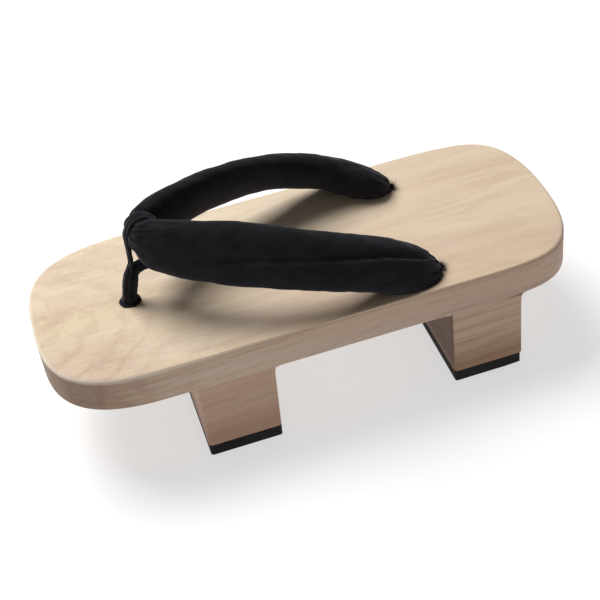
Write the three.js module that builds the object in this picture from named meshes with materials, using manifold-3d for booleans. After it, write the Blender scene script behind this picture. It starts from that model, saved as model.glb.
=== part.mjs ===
// A geta: a wooden clog with a board on two teeth and a padded thong strap of black velvet.
// Millimetres. +X points to the toe, +Y to the wearer's left, +Z up.
// The origin lies on the floor, under the middle of the board.

import * as THREE from 'three';
import { mergeVertices } from 'three/addons/utils/BufferGeometryUtils.js';
import Module from 'manifold-3d';

const wasm = await Module();
wasm.setup();

// Driving dimensions of the board
const BOARD_LENGTH = 250;
const BOARD_WIDTH = 100;
const BOARD_THICKNESS = 17.8;
const BOARD_TOP = 60.6;
const TOP_EDGE_RADIUS = 1.6;
const BOTTOM_EDGE_RADIUS = 0.8;

// Each end of the board is a quarter superellipse: its length, and an exponent along and across
const TOE_END = { length: 52, along: 2.64, across: 3.16 };
const HEEL_END = { length: 110, along: 10.3, across: 2.24 };
const END_STEPS = 18;

// The two teeth: x of the front and back faces under the board and at the floor
const TEETH = {
  front: { frontTop: 63.4, backTop: 27.2, frontFloor: 63.1, backFloor: 28.6, padShort: 0 },
  rear: { frontTop: -55.6, backTop: -91.4, frontFloor: -57.6, backFloor: -91.6, padShort: 0.8 },
};
const TOOTH_CORNER_RADIUS = 1.4;
const TOOTH_FILLET = { out: 1.1, down: 6 };
const PAD_THICKNESS = 5.9;

// Holes through the board; the side holes slant forward, to come out before the rear tooth
const FRONT_HOLE = { x: 79.3, radius: 4.1, recessRadius: 11.5, recessDepth: 5 };
const SIDE_HOLE = { x: -54.4, out: 34.6, underX: -45.2, radius: 4.2 };
const HOLE_CHAMFER = 0.8;
const HOLE_SIDES = 28;

// Clear distance between fabric and wood, and between two fabric pieces
const GAP = 0.3;

// The wearer's left strap, from its nose to its end over the side hole. out and rise place the
// middle of the section beside the centre line and over the board; lean turns its width from flat
// (0 degrees) to upright (90 degrees); crease is the depth of the groove along its outer face.
const STRAP_STATIONS = [
  { x: 73.2, out: -1.2, rise: 34.8, halfWidth: 4.2, halfThick: 2.2, lean: 88, crease: 0.0 },
  { x: 71.4, out: 0.6, rise: 34.8, halfWidth: 7.8, halfThick: 4.5, lean: 86, crease: 0.0 },
  { x: 66.5, out: 6.0, rise: 34.0, halfWidth: 11.6, halfThick: 5.9, lean: 81, crease: 0.1 },
  { x: 55.0, out: 14.0, rise: 33.0, halfWidth: 13.3, halfThick: 6.0, lean: 73, crease: 0.4 },
  { x: 30.0, out: 25.7, rise: 30.1, halfWidth: 14.4, halfThick: 6.0, lean: 64, crease: 0.9 },
  { x: 0.0, out: 35.4, rise: 23.3, halfWidth: 13.0, halfThick: 6.2, lean: 60, crease: 1.4 },
  { x: -25.0, out: 37.5, rise: 14.1, halfWidth: 12.2, halfThick: 7.2, lean: 55, crease: 1.6 },
  { x: -43.0, out: 36.8, rise: 5.3, halfWidth: 10.9, halfThick: 7.2, lean: 48, crease: 1.2 },
  { x: -52.4, out: 35.9, rise: 1.7, halfWidth: 7.6, halfThick: 5.4, lean: 42, crease: 0.5 },
  { x: -57.2, out: 35.1, rise: 0.8, halfWidth: 3.8, halfThick: 3.0, lean: 38, crease: 0.0 },
  { x: -59.4, out: 34.6, rise: 0.6, halfWidth: 1.2, halfThick: 0.9, lean: 36, crease: 0.0 },
];
const STRAP_STEPS = 4;
const STRAP_SIDES = 28;
const STRAP_FULLNESS = 2.25;
const CREASE_WIDTH = 0.3;

// The front loop: a post through the front hole, whose two strands close round the strap's nose.
// Points are the middle of the cord, as x and the height over the board.
const POST_RADIUS = 3.4;
const POST_ROUTE = [
  { x: 79.4, rise: -14 },
  { x: 79.4, rise: -4 },
  { x: 79.2, rise: 2 },
  { x: 78.0, rise: 8 },
  { x: 76.6, rise: 13.5 },
  { x: 75.2, rise: 19.5 },
];
const LOOP_ROUTE = [
  { x: 75.9, rise: 16.8 },
  { x: 75.6, rise: 21 },
  { x: 75.2, rise: 26.6 },
  { x: 74.9, rise: 33 },
  { x: 74.1, rise: 39 },
  { x: 71.8, rise: 43.2 },
  { x: 67.6, rise: 44.9 },
  { x: 63.2, rise: 43.6 },
  { x: 60.3, rise: 39.2 },
  { x: 59.4, rise: 33.5 },
  { x: 60.2, rise: 27.6 },
  { x: 62.6, rise: 22.4 },
  { x: 66.4, rise: 19.6 },
  { x: 70.8, rise: 18.6 },
  { x: 74.6, rise: 17.2 },
];
const LOOP_HALF_WIDTH = 3.6;
const LOOP_HALF_THICK = 1.5;
const CORD_SIDES = 10;
const LOOP_STEPS = 36;
const POST_STEPS = 10;

// Knots under the board, and the cord of each strap's end
const FRONT_KNOT = { radius: 8.4, half: 5 };
const SIDE_KNOT = { radius: 6.6, half: 4.6 };
const SIDE_CORD_RADIUS = 2.7;
const KNOT_TURN = 0.16;

// Finishes
const WOOD = { color: 0xe2d3ba, roughness: 0.62, metalness: 0 };
const TOOTH_WOOD = { color: 0xb4957c, roughness: 0.66, metalness: 0 };
const RUBBER = { color: 0x151515, roughness: 0.85, metalness: 0 };
const VELVET = { color: 0x15151a, roughness: 1, metalness: 0 };
const CORD = { color: 0x1c1a1a, roughness: 0.95, metalness: 0 };

const UNDERSIDE = BOARD_TOP - BOARD_THICKNESS;
const TAU = 2 * Math.PI;
const SLIVER = 0.02;

// A closed body from rings of equal length, counter-clockwise seen from the last ring, with a fan
// over each end
function loft(rings) {
  const sides = rings[0].length;
  const middles = [rings[0], rings[rings.length - 1]].map((ring) =>
    ring.reduce((sum, point) => sum.add(point), new THREE.Vector3()).divideScalar(sides));
  const positions = [...rings.flat(), ...middles].flatMap((point) => point.toArray());
  const index = [];
  const lastRing = (rings.length - 1) * sides;
  const startMiddle = rings.length * sides;
  for (let side = 0; side < sides; side += 1) {
    const next = (side + 1) % sides;
    for (let row = 0; row < lastRing; row += sides) {
      index.push(row + side, row + next, row + sides + next);
      index.push(row + side, row + sides + next, row + sides + side);
    }
    index.push(startMiddle, next, side);
    index.push(startMiddle + 1, lastRing + side, lastRing + next);
  }
  const geometry = new THREE.BufferGeometry();
  geometry.setAttribute('position', new THREE.Float32BufferAttribute(positions, 3));
  geometry.setIndex(index);
  return geometry;
}

function solidOf(geometry) {
  const bare = geometry.clone();
  bare.deleteAttribute('normal');
  bare.deleteAttribute('uv');
  const merged = mergeVertices(bare, 1e-4);
  const vertProperties = Float32Array.from(merged.attributes.position.array);
  const triVerts = Uint32Array.from(merged.index.array);
  return new wasm.Manifold(new wasm.Mesh({ numProp: 3, vertProperties, triVerts }));
}

// The surface of a solid, without the slivers that joining leaves
function geometryOf(solid) {
  const mesh = solid.simplify(SLIVER).getMesh();
  const geometry = new THREE.BufferGeometry();
  geometry.setAttribute('position', new THREE.BufferAttribute(mesh.vertProperties, 3));
  geometry.setIndex(new THREE.BufferAttribute(mesh.triVerts, 1));
  geometry.computeVertexNormals();
  return geometry;
}

// The board's outline

// One point of an end, from its tip (turn 0) to where the straight side starts (turn 1)
function endPoint(end, turn) {
  const angle = turn * Math.PI / 2;
  return {
    along: end.length * Math.cos(angle) ** (2 / end.along),
    across: (BOARD_WIDTH / 2) * Math.sin(angle) ** (2 / end.across),
  };
}

// The outline drawn in by inset, counter-clockwise from the toe's tip
function boardOutline(inset) {
  const half = BOARD_LENGTH / 2;
  const quarter = (end, sign) => Array.from({ length: END_STEPS + 1 }, (_, step) => {
    const point = endPoint(end, step / END_STEPS);
    return new THREE.Vector2(sign * (half - end.length + Math.max(point.along, 0)), point.across);
  });
  const leftSide = [...quarter(TOE_END, 1), ...quarter(HEEL_END, -1).reverse()];
  const rightSide = leftSide.slice(1, -1).reverse().map((point) => new THREE.Vector2(point.x, -point.y));
  const outline = [...leftSide, ...rightSide];
  return outline.map((point, index) => {
    const before = outline[(index + outline.length - 1) % outline.length];
    const after = outline[(index + 1) % outline.length];
    const way = after.clone().sub(before).normalize();
    return point.clone().add(new THREE.Vector2(-way.y, way.x).multiplyScalar(inset));
  });
}

// The outline's prism between two heights, with sharp edges
function outlinePrism(low, high) {
  const geometry = new THREE.ExtrudeGeometry(new THREE.Shape(boardOutline(0)),
    { depth: high - low, bevelEnabled: false });
  return solidOf(geometry.translate(0, 0, low));
}

function cylinder(topRadius, bottomRadius, low, high, sides = HOLE_SIDES) {
  const geometry = new THREE.CylinderGeometry(topRadius, bottomRadius, high - low, sides);
  return geometry.rotateX(Math.PI / 2).translate(0, 0, (low + high) / 2);
}

// The slanted way of a side hole: x at a height
function sideHoleX(height) {
  const share = (BOARD_TOP - height) / BOARD_THICKNESS;
  return SIDE_HOLE.x + (SIDE_HOLE.underX - SIDE_HOLE.x) * share;
}

function slant(geometry, side) {
  const positions = geometry.attributes.position;
  for (let index = 0; index < positions.count; index += 1) {
    positions.setX(index, positions.getX(index) + sideHoleX(positions.getZ(index)));
  }
  return geometry.translate(0, side * SIDE_HOLE.out, 0);
}

const OVERCUT = 2;

function sideHole(side) {
  const way = cylinder(SIDE_HOLE.radius, SIDE_HOLE.radius, UNDERSIDE - OVERCUT, BOARD_TOP + OVERCUT);
  const mouth = cylinder(SIDE_HOLE.radius + 2 * HOLE_CHAMFER, SIDE_HOLE.radius,
    BOARD_TOP - HOLE_CHAMFER, BOARD_TOP + HOLE_CHAMFER);
  return solidOf(slant(way, side)).add(solidOf(slant(mouth, side)));
}

function frontHole() {
  const { x, radius, recessRadius, recessDepth } = FRONT_HOLE;
  const way = cylinder(radius, radius, UNDERSIDE - OVERCUT, BOARD_TOP + OVERCUT);
  const mouth = cylinder(radius + 2 * HOLE_CHAMFER, radius,
    BOARD_TOP - HOLE_CHAMFER, BOARD_TOP + HOLE_CHAMFER);
  const recess = cylinder(recessRadius - 1, recessRadius + 1,
    UNDERSIDE - recessDepth, UNDERSIDE + recessDepth);
  return [way, mouth, recess]
    .map((geometry) => solidOf(geometry.translate(x, 0, 0)))
    .reduce((sum, solid) => sum.add(solid));
}

function makeBoard() {
  const edge = (radius, from, to, steps) => Array.from({ length: steps + 1 }, (_, step) => {
    const angle = (from + (to - from) * step / steps) * Math.PI / 180;
    return { inset: radius * (1 - Math.cos(angle)), lift: radius * Math.sin(angle) };
  });
  const levels = [
    ...edge(BOTTOM_EDGE_RADIUS, -90, 0, 2).map(({ inset, lift }) =>
      ({ inset, height: UNDERSIDE + BOTTOM_EDGE_RADIUS + lift })),
    ...edge(TOP_EDGE_RADIUS, 0, 90, 4).map(({ inset, lift }) =>
      ({ inset, height: BOARD_TOP - TOP_EDGE_RADIUS + lift })),
  ];
  const rings = levels.map(({ inset, height }) =>
    boardOutline(inset).map((point) => new THREE.Vector3(point.x, point.y, height)));
  const landings = Object.values(TEETH).map((tooth) => {
    const length = tooth.frontTop - tooth.backTop + 2 * TOOTH_FILLET.out;
    const block = new THREE.BoxGeometry(length, BOARD_WIDTH + OVERCUT, BOARD_THICKNESS / 4);
    block.translate((tooth.frontTop + tooth.backTop) / 2, 0, UNDERSIDE + BOARD_THICKNESS / 8);
    return solidOf(block).intersect(outlinePrism(UNDERSIDE, BOARD_TOP));
  });
  return [frontHole(), sideHole(1), sideHole(-1)].reduce((board, hole) => board.subtract(hole),
    landings.reduce((board, landing) => board.add(landing), solidOf(loft(rings))));
}

// A tooth or its pad: x of the front and back faces at a height
function toothFaces(tooth, height) {
  const share = height / UNDERSIDE;
  const flare = Math.max(0, 1 - (UNDERSIDE - height) / TOOTH_FILLET.down);
  const fillet = TOOTH_FILLET.out * (1 - Math.sqrt(1 - flare * flare));
  return {
    front: tooth.frontFloor + (tooth.frontTop - tooth.frontFloor) * share + fillet,
    back: tooth.backFloor + (tooth.backTop - tooth.backFloor) * share - fillet,
  };
}

function toothRing(tooth, height, short) {
  const { front, back } = toothFaces(tooth, height);
  const half = BOARD_WIDTH / 2;
  const radius = TOOTH_CORNER_RADIUS;
  const shape = new THREE.Shape();
  shape.absarc(front - radius, half - radius, radius, 0, Math.PI / 2);
  shape.absarc(back + short + radius, half - radius, radius, Math.PI / 2, Math.PI);
  shape.absarc(back + short + radius, radius - half, radius, Math.PI, 1.5 * Math.PI);
  shape.absarc(front - radius, radius - half, radius, 1.5 * Math.PI, TAU);
  return shape.getPoints(4).slice(0, -1).map((point) => new THREE.Vector3(point.x, point.y, height));
}

function toothBody(tooth, heights, short = 0) {
  const block = solidOf(loft(heights.map((height) => toothRing(tooth, height, short))));
  return block.intersect(outlinePrism(-OVERCUT, BOARD_TOP));
}

function makeTooth(tooth) {
  const fillet = [1, 0.8, 0.6, 0.4, 0.2, 0].map((share) => UNDERSIDE - TOOTH_FILLET.down * share);
  return toothBody(tooth, [PAD_THICKNESS, ...fillet]);
}

function makePad(tooth) {
  return toothBody(tooth, [0, PAD_THICKNESS], tooth.padShort);
}

// The strap

// A value of the station table at a distance from the nose, on a cubic through the rows
function stationValue(rows, distances, name, distance) {
  const last = rows.length - 1;
  const row = distances.findLastIndex((start, index) => start <= distance && index < last);
  const span = distances[row + 1] - distances[row];
  const share = (distance - distances[row]) / span;
  const slope = (index) => {
    const low = Math.max(index - 1, 0);
    const high = Math.min(index + 1, last);
    return (rows[high][name] - rows[low][name]) / (distances[high] - distances[low]);
  };
  const start = rows[row][name];
  const end = rows[row + 1][name];
  const startPull = span * slope(row);
  const endPull = span * slope(row + 1);
  const bend = 2 * start - 2 * end + startPull + endPull;
  const swing = 3 * end - 3 * start - 2 * startPull - endPull;
  return ((bend * share + swing) * share + startPull) * share + start;
}

// The strap's section at every step along it, for the left (side 1) or right (side -1) strap
function strapSections(side) {
  const rows = STRAP_STATIONS;
  const distances = rows.reduce((list, row, index) => {
    const before = rows[index - 1];
    const run = before ? Math.hypot(row.x - before.x, row.out - before.out, row.rise - before.rise) : 0;
    return [...list, (list[index - 1] ?? 0) + run];
  }, []);
  const steps = distances.slice(1).flatMap((end, index) => Array.from({ length: STRAP_STEPS },
    (_, step) => distances[index] + (end - distances[index]) * step / STRAP_STEPS));
  const read = (name, distance) => stationValue(rows, distances, name, distance);
  const centre = (distance) => new THREE.Vector3(read('x', distance), side * read('out', distance),
    BOARD_TOP + read('rise', distance));
  const end = distances[distances.length - 1];
  return [...steps, end].map((distance) => {
    const before = centre(Math.max(distance - 1, 0));
    const way = centre(Math.min(distance + 1, end)).sub(before).normalize();
    const lean = read('lean', distance) * Math.PI / 180;
    const up = new THREE.Vector3(0, -side * Math.cos(lean), Math.sin(lean));
    up.addScaledVector(way, -up.dot(way)).normalize();
    return {
      centre: centre(distance),
      up,
      outward: up.clone().cross(way).multiplyScalar(-side),
      halfWidth: read('halfWidth', distance),
      halfThick: read('halfThick', distance),
      crease: read('crease', distance),
    };
  });
}

// A padded section: a superellipse with a groove down the middle of its outer face, pressed flat
// where it rests on the board
function strapRing(section, side) {
  const power = 2 / STRAP_FULLNESS;
  const shaped = (value) => Math.sign(value) * Math.abs(value) ** power;
  return Array.from({ length: STRAP_SIDES }, (_, index) => {
    const angle = side * TAU * index / STRAP_SIDES;
    const width = section.halfWidth * shaped(Math.cos(angle));
    const reach = section.halfThick * shaped(Math.sin(angle));
    const offMiddle = width / section.halfWidth / CREASE_WIDTH;
    const groove = reach > 0 ? section.crease * Math.exp(-(offMiddle ** 2)) : 0;
    const point = section.centre.clone()
      .addScaledVector(section.up, width)
      .addScaledVector(section.outward, reach - groove);
    point.z = Math.max(point.z, BOARD_TOP + GAP);
    return point;
  });
}

function makeStrapHalf(side) {
  return solidOf(loft(strapSections(side).map((section) => strapRing(section, side))));
}

// The front loop

function route(points) {
  return new THREE.CatmullRomCurve3(points.map(({ x, rise }) => new THREE.Vector3(x, 0, BOARD_TOP + rise)));
}

// A cord of oval section along a route in the centre plane
function cordAlong(points, halfThick, halfWidth, steps) {
  const curve = route(points);
  const rings = Array.from({ length: steps + 1 }, (_, step) => {
    const centre = curve.getPointAt(step / steps);
    const way = curve.getTangentAt(step / steps);
    const aside = new THREE.Vector3(0, 1, 0);
    const out = aside.clone().cross(way);
    return Array.from({ length: CORD_SIDES }, (_, side) => {
      const angle = TAU * side / CORD_SIDES;
      return centre.clone().addScaledVector(out, halfThick * Math.cos(angle))
        .addScaledVector(aside, halfWidth * Math.sin(angle));
    });
  });
  return solidOf(loft(rings));
}

function loopBand(spare) {
  return cordAlong(LOOP_ROUTE, LOOP_HALF_THICK + spare, LOOP_HALF_WIDTH + spare, LOOP_STEPS);
}

function frontPost(spare) {
  return cordAlong(POST_ROUTE, POST_RADIUS + spare, POST_RADIUS + spare, POST_STEPS);
}

// A knot: a flattened ball with one turn of its cord standing proud round it
function knot({ radius, half }) {
  const ball = new THREE.SphereGeometry(radius, 16, 8);
  const turn = new THREE.TorusGeometry(radius * (1 - KNOT_TURN), radius * 2 * KNOT_TURN, 6, 16);
  turn.rotateX(KNOT_TURN * Math.PI);
  const flatten = (geometry) => solidOf(geometry.scale(1, 1, half / radius));
  return flatten(ball).add(flatten(turn));
}

function makeFrontLoop() {
  const knotTop = UNDERSIDE + FRONT_HOLE.recessDepth - 2 * GAP;
  const placedKnot = knot(FRONT_KNOT).translate([FRONT_HOLE.x, 0, knotTop - FRONT_KNOT.half]);
  return frontPost(0).add(loopBand(0)).add(placedKnot);
}

function makeStrap() {
  return makeStrapHalf(1).add(makeStrapHalf(-1)).subtract(loopBand(GAP)).subtract(frontPost(GAP));
}

function makeSideCord(side) {
  const knotHeight = UNDERSIDE - SIDE_KNOT.half - GAP;
  const cord = cylinder(SIDE_CORD_RADIUS, SIDE_CORD_RADIUS, knotHeight, BOARD_TOP - GAP, CORD_SIDES);
  const placedKnot = knot(SIDE_KNOT).translate([sideHoleX(knotHeight), side * SIDE_HOLE.out, knotHeight]);
  return solidOf(slant(cord, side)).add(placedKnot);
}

const geta = new THREE.Group();

function addPiece(name, solid, finish) {
  const mesh = new THREE.Mesh(geometryOf(solid), new THREE.MeshStandardMaterial(finish));
  mesh.name = name;
  geta.add(mesh);
}

addPiece('board', makeBoard(), WOOD);
for (const [name, tooth] of Object.entries(TEETH)) {
  addPiece(`${name}_tooth`, makeTooth(tooth), TOOTH_WOOD);
  addPiece(`${name}_pad`, makePad(tooth), RUBBER);
}
addPiece('strap', makeStrap(), VELVET);
addPiece('front_loop', makeFrontLoop(), VELVET);
addPiece('left_cord', makeSideCord(1), CORD);
addPiece('right_cord', makeSideCord(-1), CORD);

export default geta;
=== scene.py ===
"""The finished look of a geta: a light wood board on two teeth, and a padded thong strap of black velvet.

Sizes are in millimetres and become metres when a mesh is made. +X points to the toe, +Y to the
wearer's left and +Z up. The floor is at z = 0, under the middle of the board. Shader lengths are in
metres.
"""

import logging
from dataclasses import dataclass
from enum import Enum
from typing import Callable, Mapping, Sequence

import bpy
import numpy as np
from mathutils import Matrix, Vector


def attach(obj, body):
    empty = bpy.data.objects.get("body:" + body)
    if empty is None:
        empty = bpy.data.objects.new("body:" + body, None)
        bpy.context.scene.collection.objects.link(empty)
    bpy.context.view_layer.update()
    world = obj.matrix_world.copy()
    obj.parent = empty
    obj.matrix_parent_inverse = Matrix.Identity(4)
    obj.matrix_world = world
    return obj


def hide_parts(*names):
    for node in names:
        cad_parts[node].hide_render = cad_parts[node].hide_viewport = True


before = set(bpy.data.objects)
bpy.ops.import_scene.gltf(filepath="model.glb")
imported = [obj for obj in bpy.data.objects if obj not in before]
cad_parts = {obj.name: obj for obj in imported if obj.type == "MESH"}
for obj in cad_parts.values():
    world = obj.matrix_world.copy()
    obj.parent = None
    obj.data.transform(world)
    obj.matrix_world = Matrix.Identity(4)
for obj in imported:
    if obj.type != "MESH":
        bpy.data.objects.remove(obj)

LOG = logging.getLogger("geta")
MM = 0.001
TAU = 2.0 * np.pi
BODY = "root"
Array = np.ndarray
Colour = tuple[float, float, float]
Point = tuple[float, float, float]
Wave = tuple[float, float, float]
Range = tuple[float, float]

BOARD_TOP = 60.6
BOARD_THICKNESS = 17.8
UNDERSIDE = BOARD_TOP - BOARD_THICKNESS
BOARD_WIDTH = 100.0
SHARP_DEGREES = 35.0


class Side(Enum):
    """The wearer's side that a strap lies on, as the sign of its y."""

    LEFT = 1
    RIGHT = -1


# How far each strap's end stands from its place in a mirrored pair, as x and y in millimetres
END_SHIFT = {Side.LEFT: (1.4, 2.6), Side.RIGHT: (0.8, 6.2)}


# Shader graphs


class Value:
    """A shader output that Python's operators act on, each adding a Math node."""

    def __init__(self, graph: "Graph", socket: bpy.types.NodeSocket) -> None:
        """Wraps one output socket of a graph."""
        self.graph = graph
        self.socket = socket

    def __add__(self, other: "Operand") -> "Value":
        """Sum."""
        return self.graph.math("ADD", self, other)

    def __radd__(self, other: float) -> "Value":
        """Sum, reflected."""
        return self.graph.math("ADD", other, self)

    def __sub__(self, other: "Operand") -> "Value":
        """Difference."""
        return self.graph.math("SUBTRACT", self, other)

    def __rsub__(self, other: float) -> "Value":
        """Difference, reflected."""
        return self.graph.math("SUBTRACT", other, self)

    def __mul__(self, other: "Operand") -> "Value":
        """Product."""
        return self.graph.math("MULTIPLY", self, other)

    def __rmul__(self, other: float) -> "Value":
        """Product, reflected."""
        return self.graph.math("MULTIPLY", other, self)

    def __pow__(self, other: "Operand") -> "Value":
        """Power."""
        return self.graph.math("POWER", self, other)

    def step(self, low: float, high: float) -> "Value":
        """A smooth rise from 0 at low to 1 at high."""
        inputs = {"Value": self, "From Min": low, "From Max": high}
        return self.graph.value("ShaderNodeMapRange", {"interpolation_type": "SMOOTHSTEP"}, inputs)


Operand = Value | float


class Graph:
    """The node tree of one material, with a Principled shader."""

    def __init__(self, name: str) -> None:
        """Starts a material with an empty tree.

        Args:
            name: the material's name.
        """
        self.material = bpy.data.materials.new(name)
        self.material.use_nodes = True
        self.nodes = self.material.node_tree.nodes
        self.links = self.material.node_tree.links
        self.nodes.clear()
        output = self.nodes.new("ShaderNodeOutputMaterial")
        self.shader = self.nodes.new("ShaderNodeBsdfPrincipled")
        self.links.new(self.shader.outputs[0], output.inputs["Surface"])

    def plug(self, socket: bpy.types.NodeSocket, value: object) -> None:
        """Feeds a socket.

        Args:
            socket: the input to feed.
            value: a value or an output to link, or plain numbers to set.
        """
        if isinstance(value, Value):
            self.links.new(value.socket, socket)
        elif isinstance(value, bpy.types.NodeSocket):
            self.links.new(value, socket)
        else:
            socket.default_value = value

    def node(
        self,
        kind: str,
        settings: Mapping[str, object] | None = None,
        inputs: Mapping[str | int, object] | None = None,
    ) -> bpy.types.Node:
        """Adds a node.

        Args:
            kind: the node's type.
            settings: its properties, set first.
            inputs: numbers or links for its sockets, by name or place.

        Returns:
            The new node.
        """
        made = self.nodes.new(kind)
        for key, setting in (settings or {}).items():
            setattr(made, key, setting)
        for key, value in (inputs or {}).items():
            self.plug(made.inputs[key], value)
        return made

    def value(
        self,
        kind: str,
        settings: Mapping[str, object] | None = None,
        inputs: Mapping[str | int, object] | None = None,
        output: str | int = 0,
    ) -> Value:
        """Adds a node as node() does, and gives one of its outputs by name or place."""
        return Value(self, self.node(kind, settings, inputs).outputs[output])

    def math(self, operation: str, *values: Operand) -> Value:
        """Adds one Math node on one to three values."""
        return self.value("ShaderNodeMath", {"operation": operation}, dict(enumerate(values)))

    def mix(self, share: Operand, low: object, high: object, how: str = "MIX") -> bpy.types.NodeSocket:
        """Mixes two colours.

        Args:
            share: how much of high shows, 0 to 1.
            low: a colour or a link.
            high: a colour or a link.
            how: the way of mixing, such as MIX or MULTIPLY.

        Returns:
            The colour's socket.
        """
        settings = {"data_type": "RGBA", "blend_type": how, "clamp_factor": True}
        made = self.node("ShaderNodeMix", settings)
        self.plug(made.inputs["Factor"], share)
        for place, colour in ((6, low), (7, high)):
            self.plug(made.inputs[place], (*colour, 1.0) if isinstance(colour, tuple) else colour)
        return made.outputs[2]

    def place(self, per_metre: Sequence[float], shift: Sequence[float] = (0, 0, 0)) -> bpy.types.NodeSocket:
        """Object coordinates to read a pattern at.

        Args:
            per_metre: the pattern's cells in a metre, along each axis.
            shift: how far the pattern is moved, in cells.

        Returns:
            The coordinates' socket.
        """
        coordinates = self.node("ShaderNodeTexCoord").outputs["Object"]
        inputs = {"Vector": coordinates, "Scale": per_metre, "Location": shift}
        return self.node("ShaderNodeMapping", {"vector_type": "POINT"}, inputs).outputs[0]

    def axis(self, name: str) -> Value:
        """One object coordinate in metres: X, Y or Z."""
        coordinates = self.node("ShaderNodeTexCoord").outputs["Object"]
        return self.value("ShaderNodeSeparateXYZ", None, {0: coordinates}, name)

    def run(self, name: str) -> Value:
        """One coordinate of the piece's own UV map, in metres: X along it, Y round it."""
        coordinates = self.node("ShaderNodeUVMap", {"uv_map": "run"}).outputs[0]
        return self.value("ShaderNodeSeparateXYZ", None, {0: coordinates}, name)

    def noise(
        self, where: bpy.types.NodeSocket, detail: float = 2.0, rough: float = 0.5, warp: float = 0.0
    ) -> Value:
        """Noise from 0 to 1 at the points where, with cells one unit wide."""
        inputs = {"Vector": where, "Scale": 1.0, "Detail": detail, "Roughness": rough, "Distortion": warp}
        return self.value("ShaderNodeTexNoise", None, inputs, "Fac")

    def cells(self, where: bpy.types.NodeSocket) -> Value:
        """The distance to the nearest of a scatter of points, one to a unit."""
        return self.value("ShaderNodeTexVoronoi", None, {"Vector": where, "Scale": 1.0}, "Distance")

    def relief(self, height: Value, depth: float) -> bpy.types.NodeSocket:
        """A Bump node: height from 0 to 1 stands depth metres tall."""
        inputs = {"Height": height, "Distance": depth, "Strength": 1.0}
        return self.node("ShaderNodeBump", None, inputs).outputs[0]

    def set(self, **values: object) -> bpy.types.Material:
        """Feeds the shader.

        Args:
            **values: what goes to each socket, named with _ for spaces.

        Returns:
            The material.
        """
        for key, value in values.items():
            self.plug(self.shader.inputs[key.replace("_", " ")], value)
        return self.material


# Finishes


@dataclass(frozen=True)
class Pattern:
    """One noise pattern in wood, and the levels between which it comes to show in full."""

    per_metre: Point
    detail: float = 2.0
    rough: float = 0.5
    warp: float = 0.0
    start: float = 0.0
    slanted: bool = False
    levels: Range = (0.0, 1.0)

    def place(self, graph: Graph, seed: float) -> bpy.types.NodeSocket:
        """Where the pattern is read: moved by the seed along x, and sideways too when slanted."""
        aside = (seed * 0.7, seed * 1.3) if self.slanted else (0.0, 0.0)
        return graph.place(self.per_metre, (seed + self.start, *aside))

    def read(self, graph: Graph, seed: float) -> Value:
        """The pattern, from 0 to 1."""
        return graph.noise(self.place(graph, seed), self.detail, self.rough, self.warp)


BANDS = Pattern((4.2, 36.0, 48.0), 3.0, 0.5, 0.6, slanted=True, levels=(0.38, 0.62))
STRAW_BANDS = Pattern((7.0, 70.0, 90.0), 2.0, 0.5, 0.6, start=9, slanted=True, levels=(0.46, 0.68))
CLOUDS = Pattern((34.0, 60.0, 60.0), 4.0, 0.62, 0.5, start=2, levels=(0.48, 0.7))
STREAKS = Pattern((16.0, 520.0, 520.0), 5.0, 0.68, 0.3, slanted=True, levels=(0.46, 0.82))
BROAD_STREAKS = Pattern((9.0, 190.0, 290.0), 3.0, 0.6, 0.5, start=6, levels=(0.5, 0.76))
FIBRES = Pattern((60.0, 1900.0, 1900.0), 2.0, 0.6, slanted=True)
PORES = Pattern((210.0, 1150.0, 1150.0), slanted=True, levels=(0.1, 0.3))
PORE_PATCHES = Pattern((40.0, 90.0, 90.0), start=5, levels=(0.46, 0.7))
GRIT = Pattern((330.0, 620.0, 620.0), 4.0, 0.7, start=3, levels=(0.5, 0.78))
RING_WAVER = Pattern((11.0, 46.0, 46.0), 4.0, 0.6)
ARCH_WAVER = Pattern((38.0, 44.0, 44.0), 5.0, 0.66, start=4)


class Regions:
    """Where on the sandal a point of the wood lies, each as a share from 0 to 1.

    toeward, heelward and corner (the left of the toe) grow along the board. edge is what lies below
    the top's rim, toe_side its part round the toe, under_rim a thin line under the rim, and rim the
    rim itself. inner and outer are a tooth's front and back faces, and foot is a tooth's lower end.
    """

    TOEWARD: Range = (0.01, 0.09)
    HEELWARD: Range = (-0.07, 0.07)
    CORNER_ALONG: Range = (0.05, 0.12)
    CORNER_ACROSS: Range = (-0.005, 0.045)
    ROUNDED: Range = (0.058, 0.096)
    ROUNDING = 0.0013
    EDGE = 0.0009
    TOE_SIDE: Range = (0.07, 0.115)
    UNDER_RIM: Range = (0.0019, 0.0011)
    RIM: Range = (0.0016, 0.0004)
    TOP_EDGE: Range = (0.0602, 0.06056)
    FACE: Range = (0.0002, 0.0012)
    FOOT: Range = (0.004, 0.03)

    def __init__(self, graph: Graph, wood: "LightWood") -> None:
        """Adds the nodes for all regions.

        Args:
            graph: the wood's graph.
            wood: the finish that says where its own faces lie.
        """
        self.along, self.across, self.up = (graph.axis(name) for name in "XYZ")
        self.toeward = self.along.step(*self.TOEWARD)
        self.heelward = 1.0 - self.along.step(*self.HEELWARD)
        self.corner = self.along.step(*self.CORNER_ALONG) * self.across.step(*self.CORNER_ACROSS)
        rounding = self.along.step(*self.ROUNDED) * self.ROUNDING
        sides = wood.side_below
        self.edge = 1.0 - (self.up + rounding).step(sides - self.EDGE, sides)
        self.toe_side = self.edge * self.along.step(*self.TOE_SIDE)
        start, full = self.UNDER_RIM
        self.under_rim = self.up.step(sides - start, sides - full) * self.edge
        start, full = self.RIM
        self.rim = self.up.step(sides - start, sides - full) * (1.0 - self.up.step(*self.TOP_EDGE))
        near, far = self.FACE
        self.inner = self.along.step(wood.front_face - far, wood.front_face - near)
        self.outer = 1.0 - self.along.step(wood.back_face + near, wood.back_face + far)
        self.foot = 1.0 - self.up.step(*self.FOOT)


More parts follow.
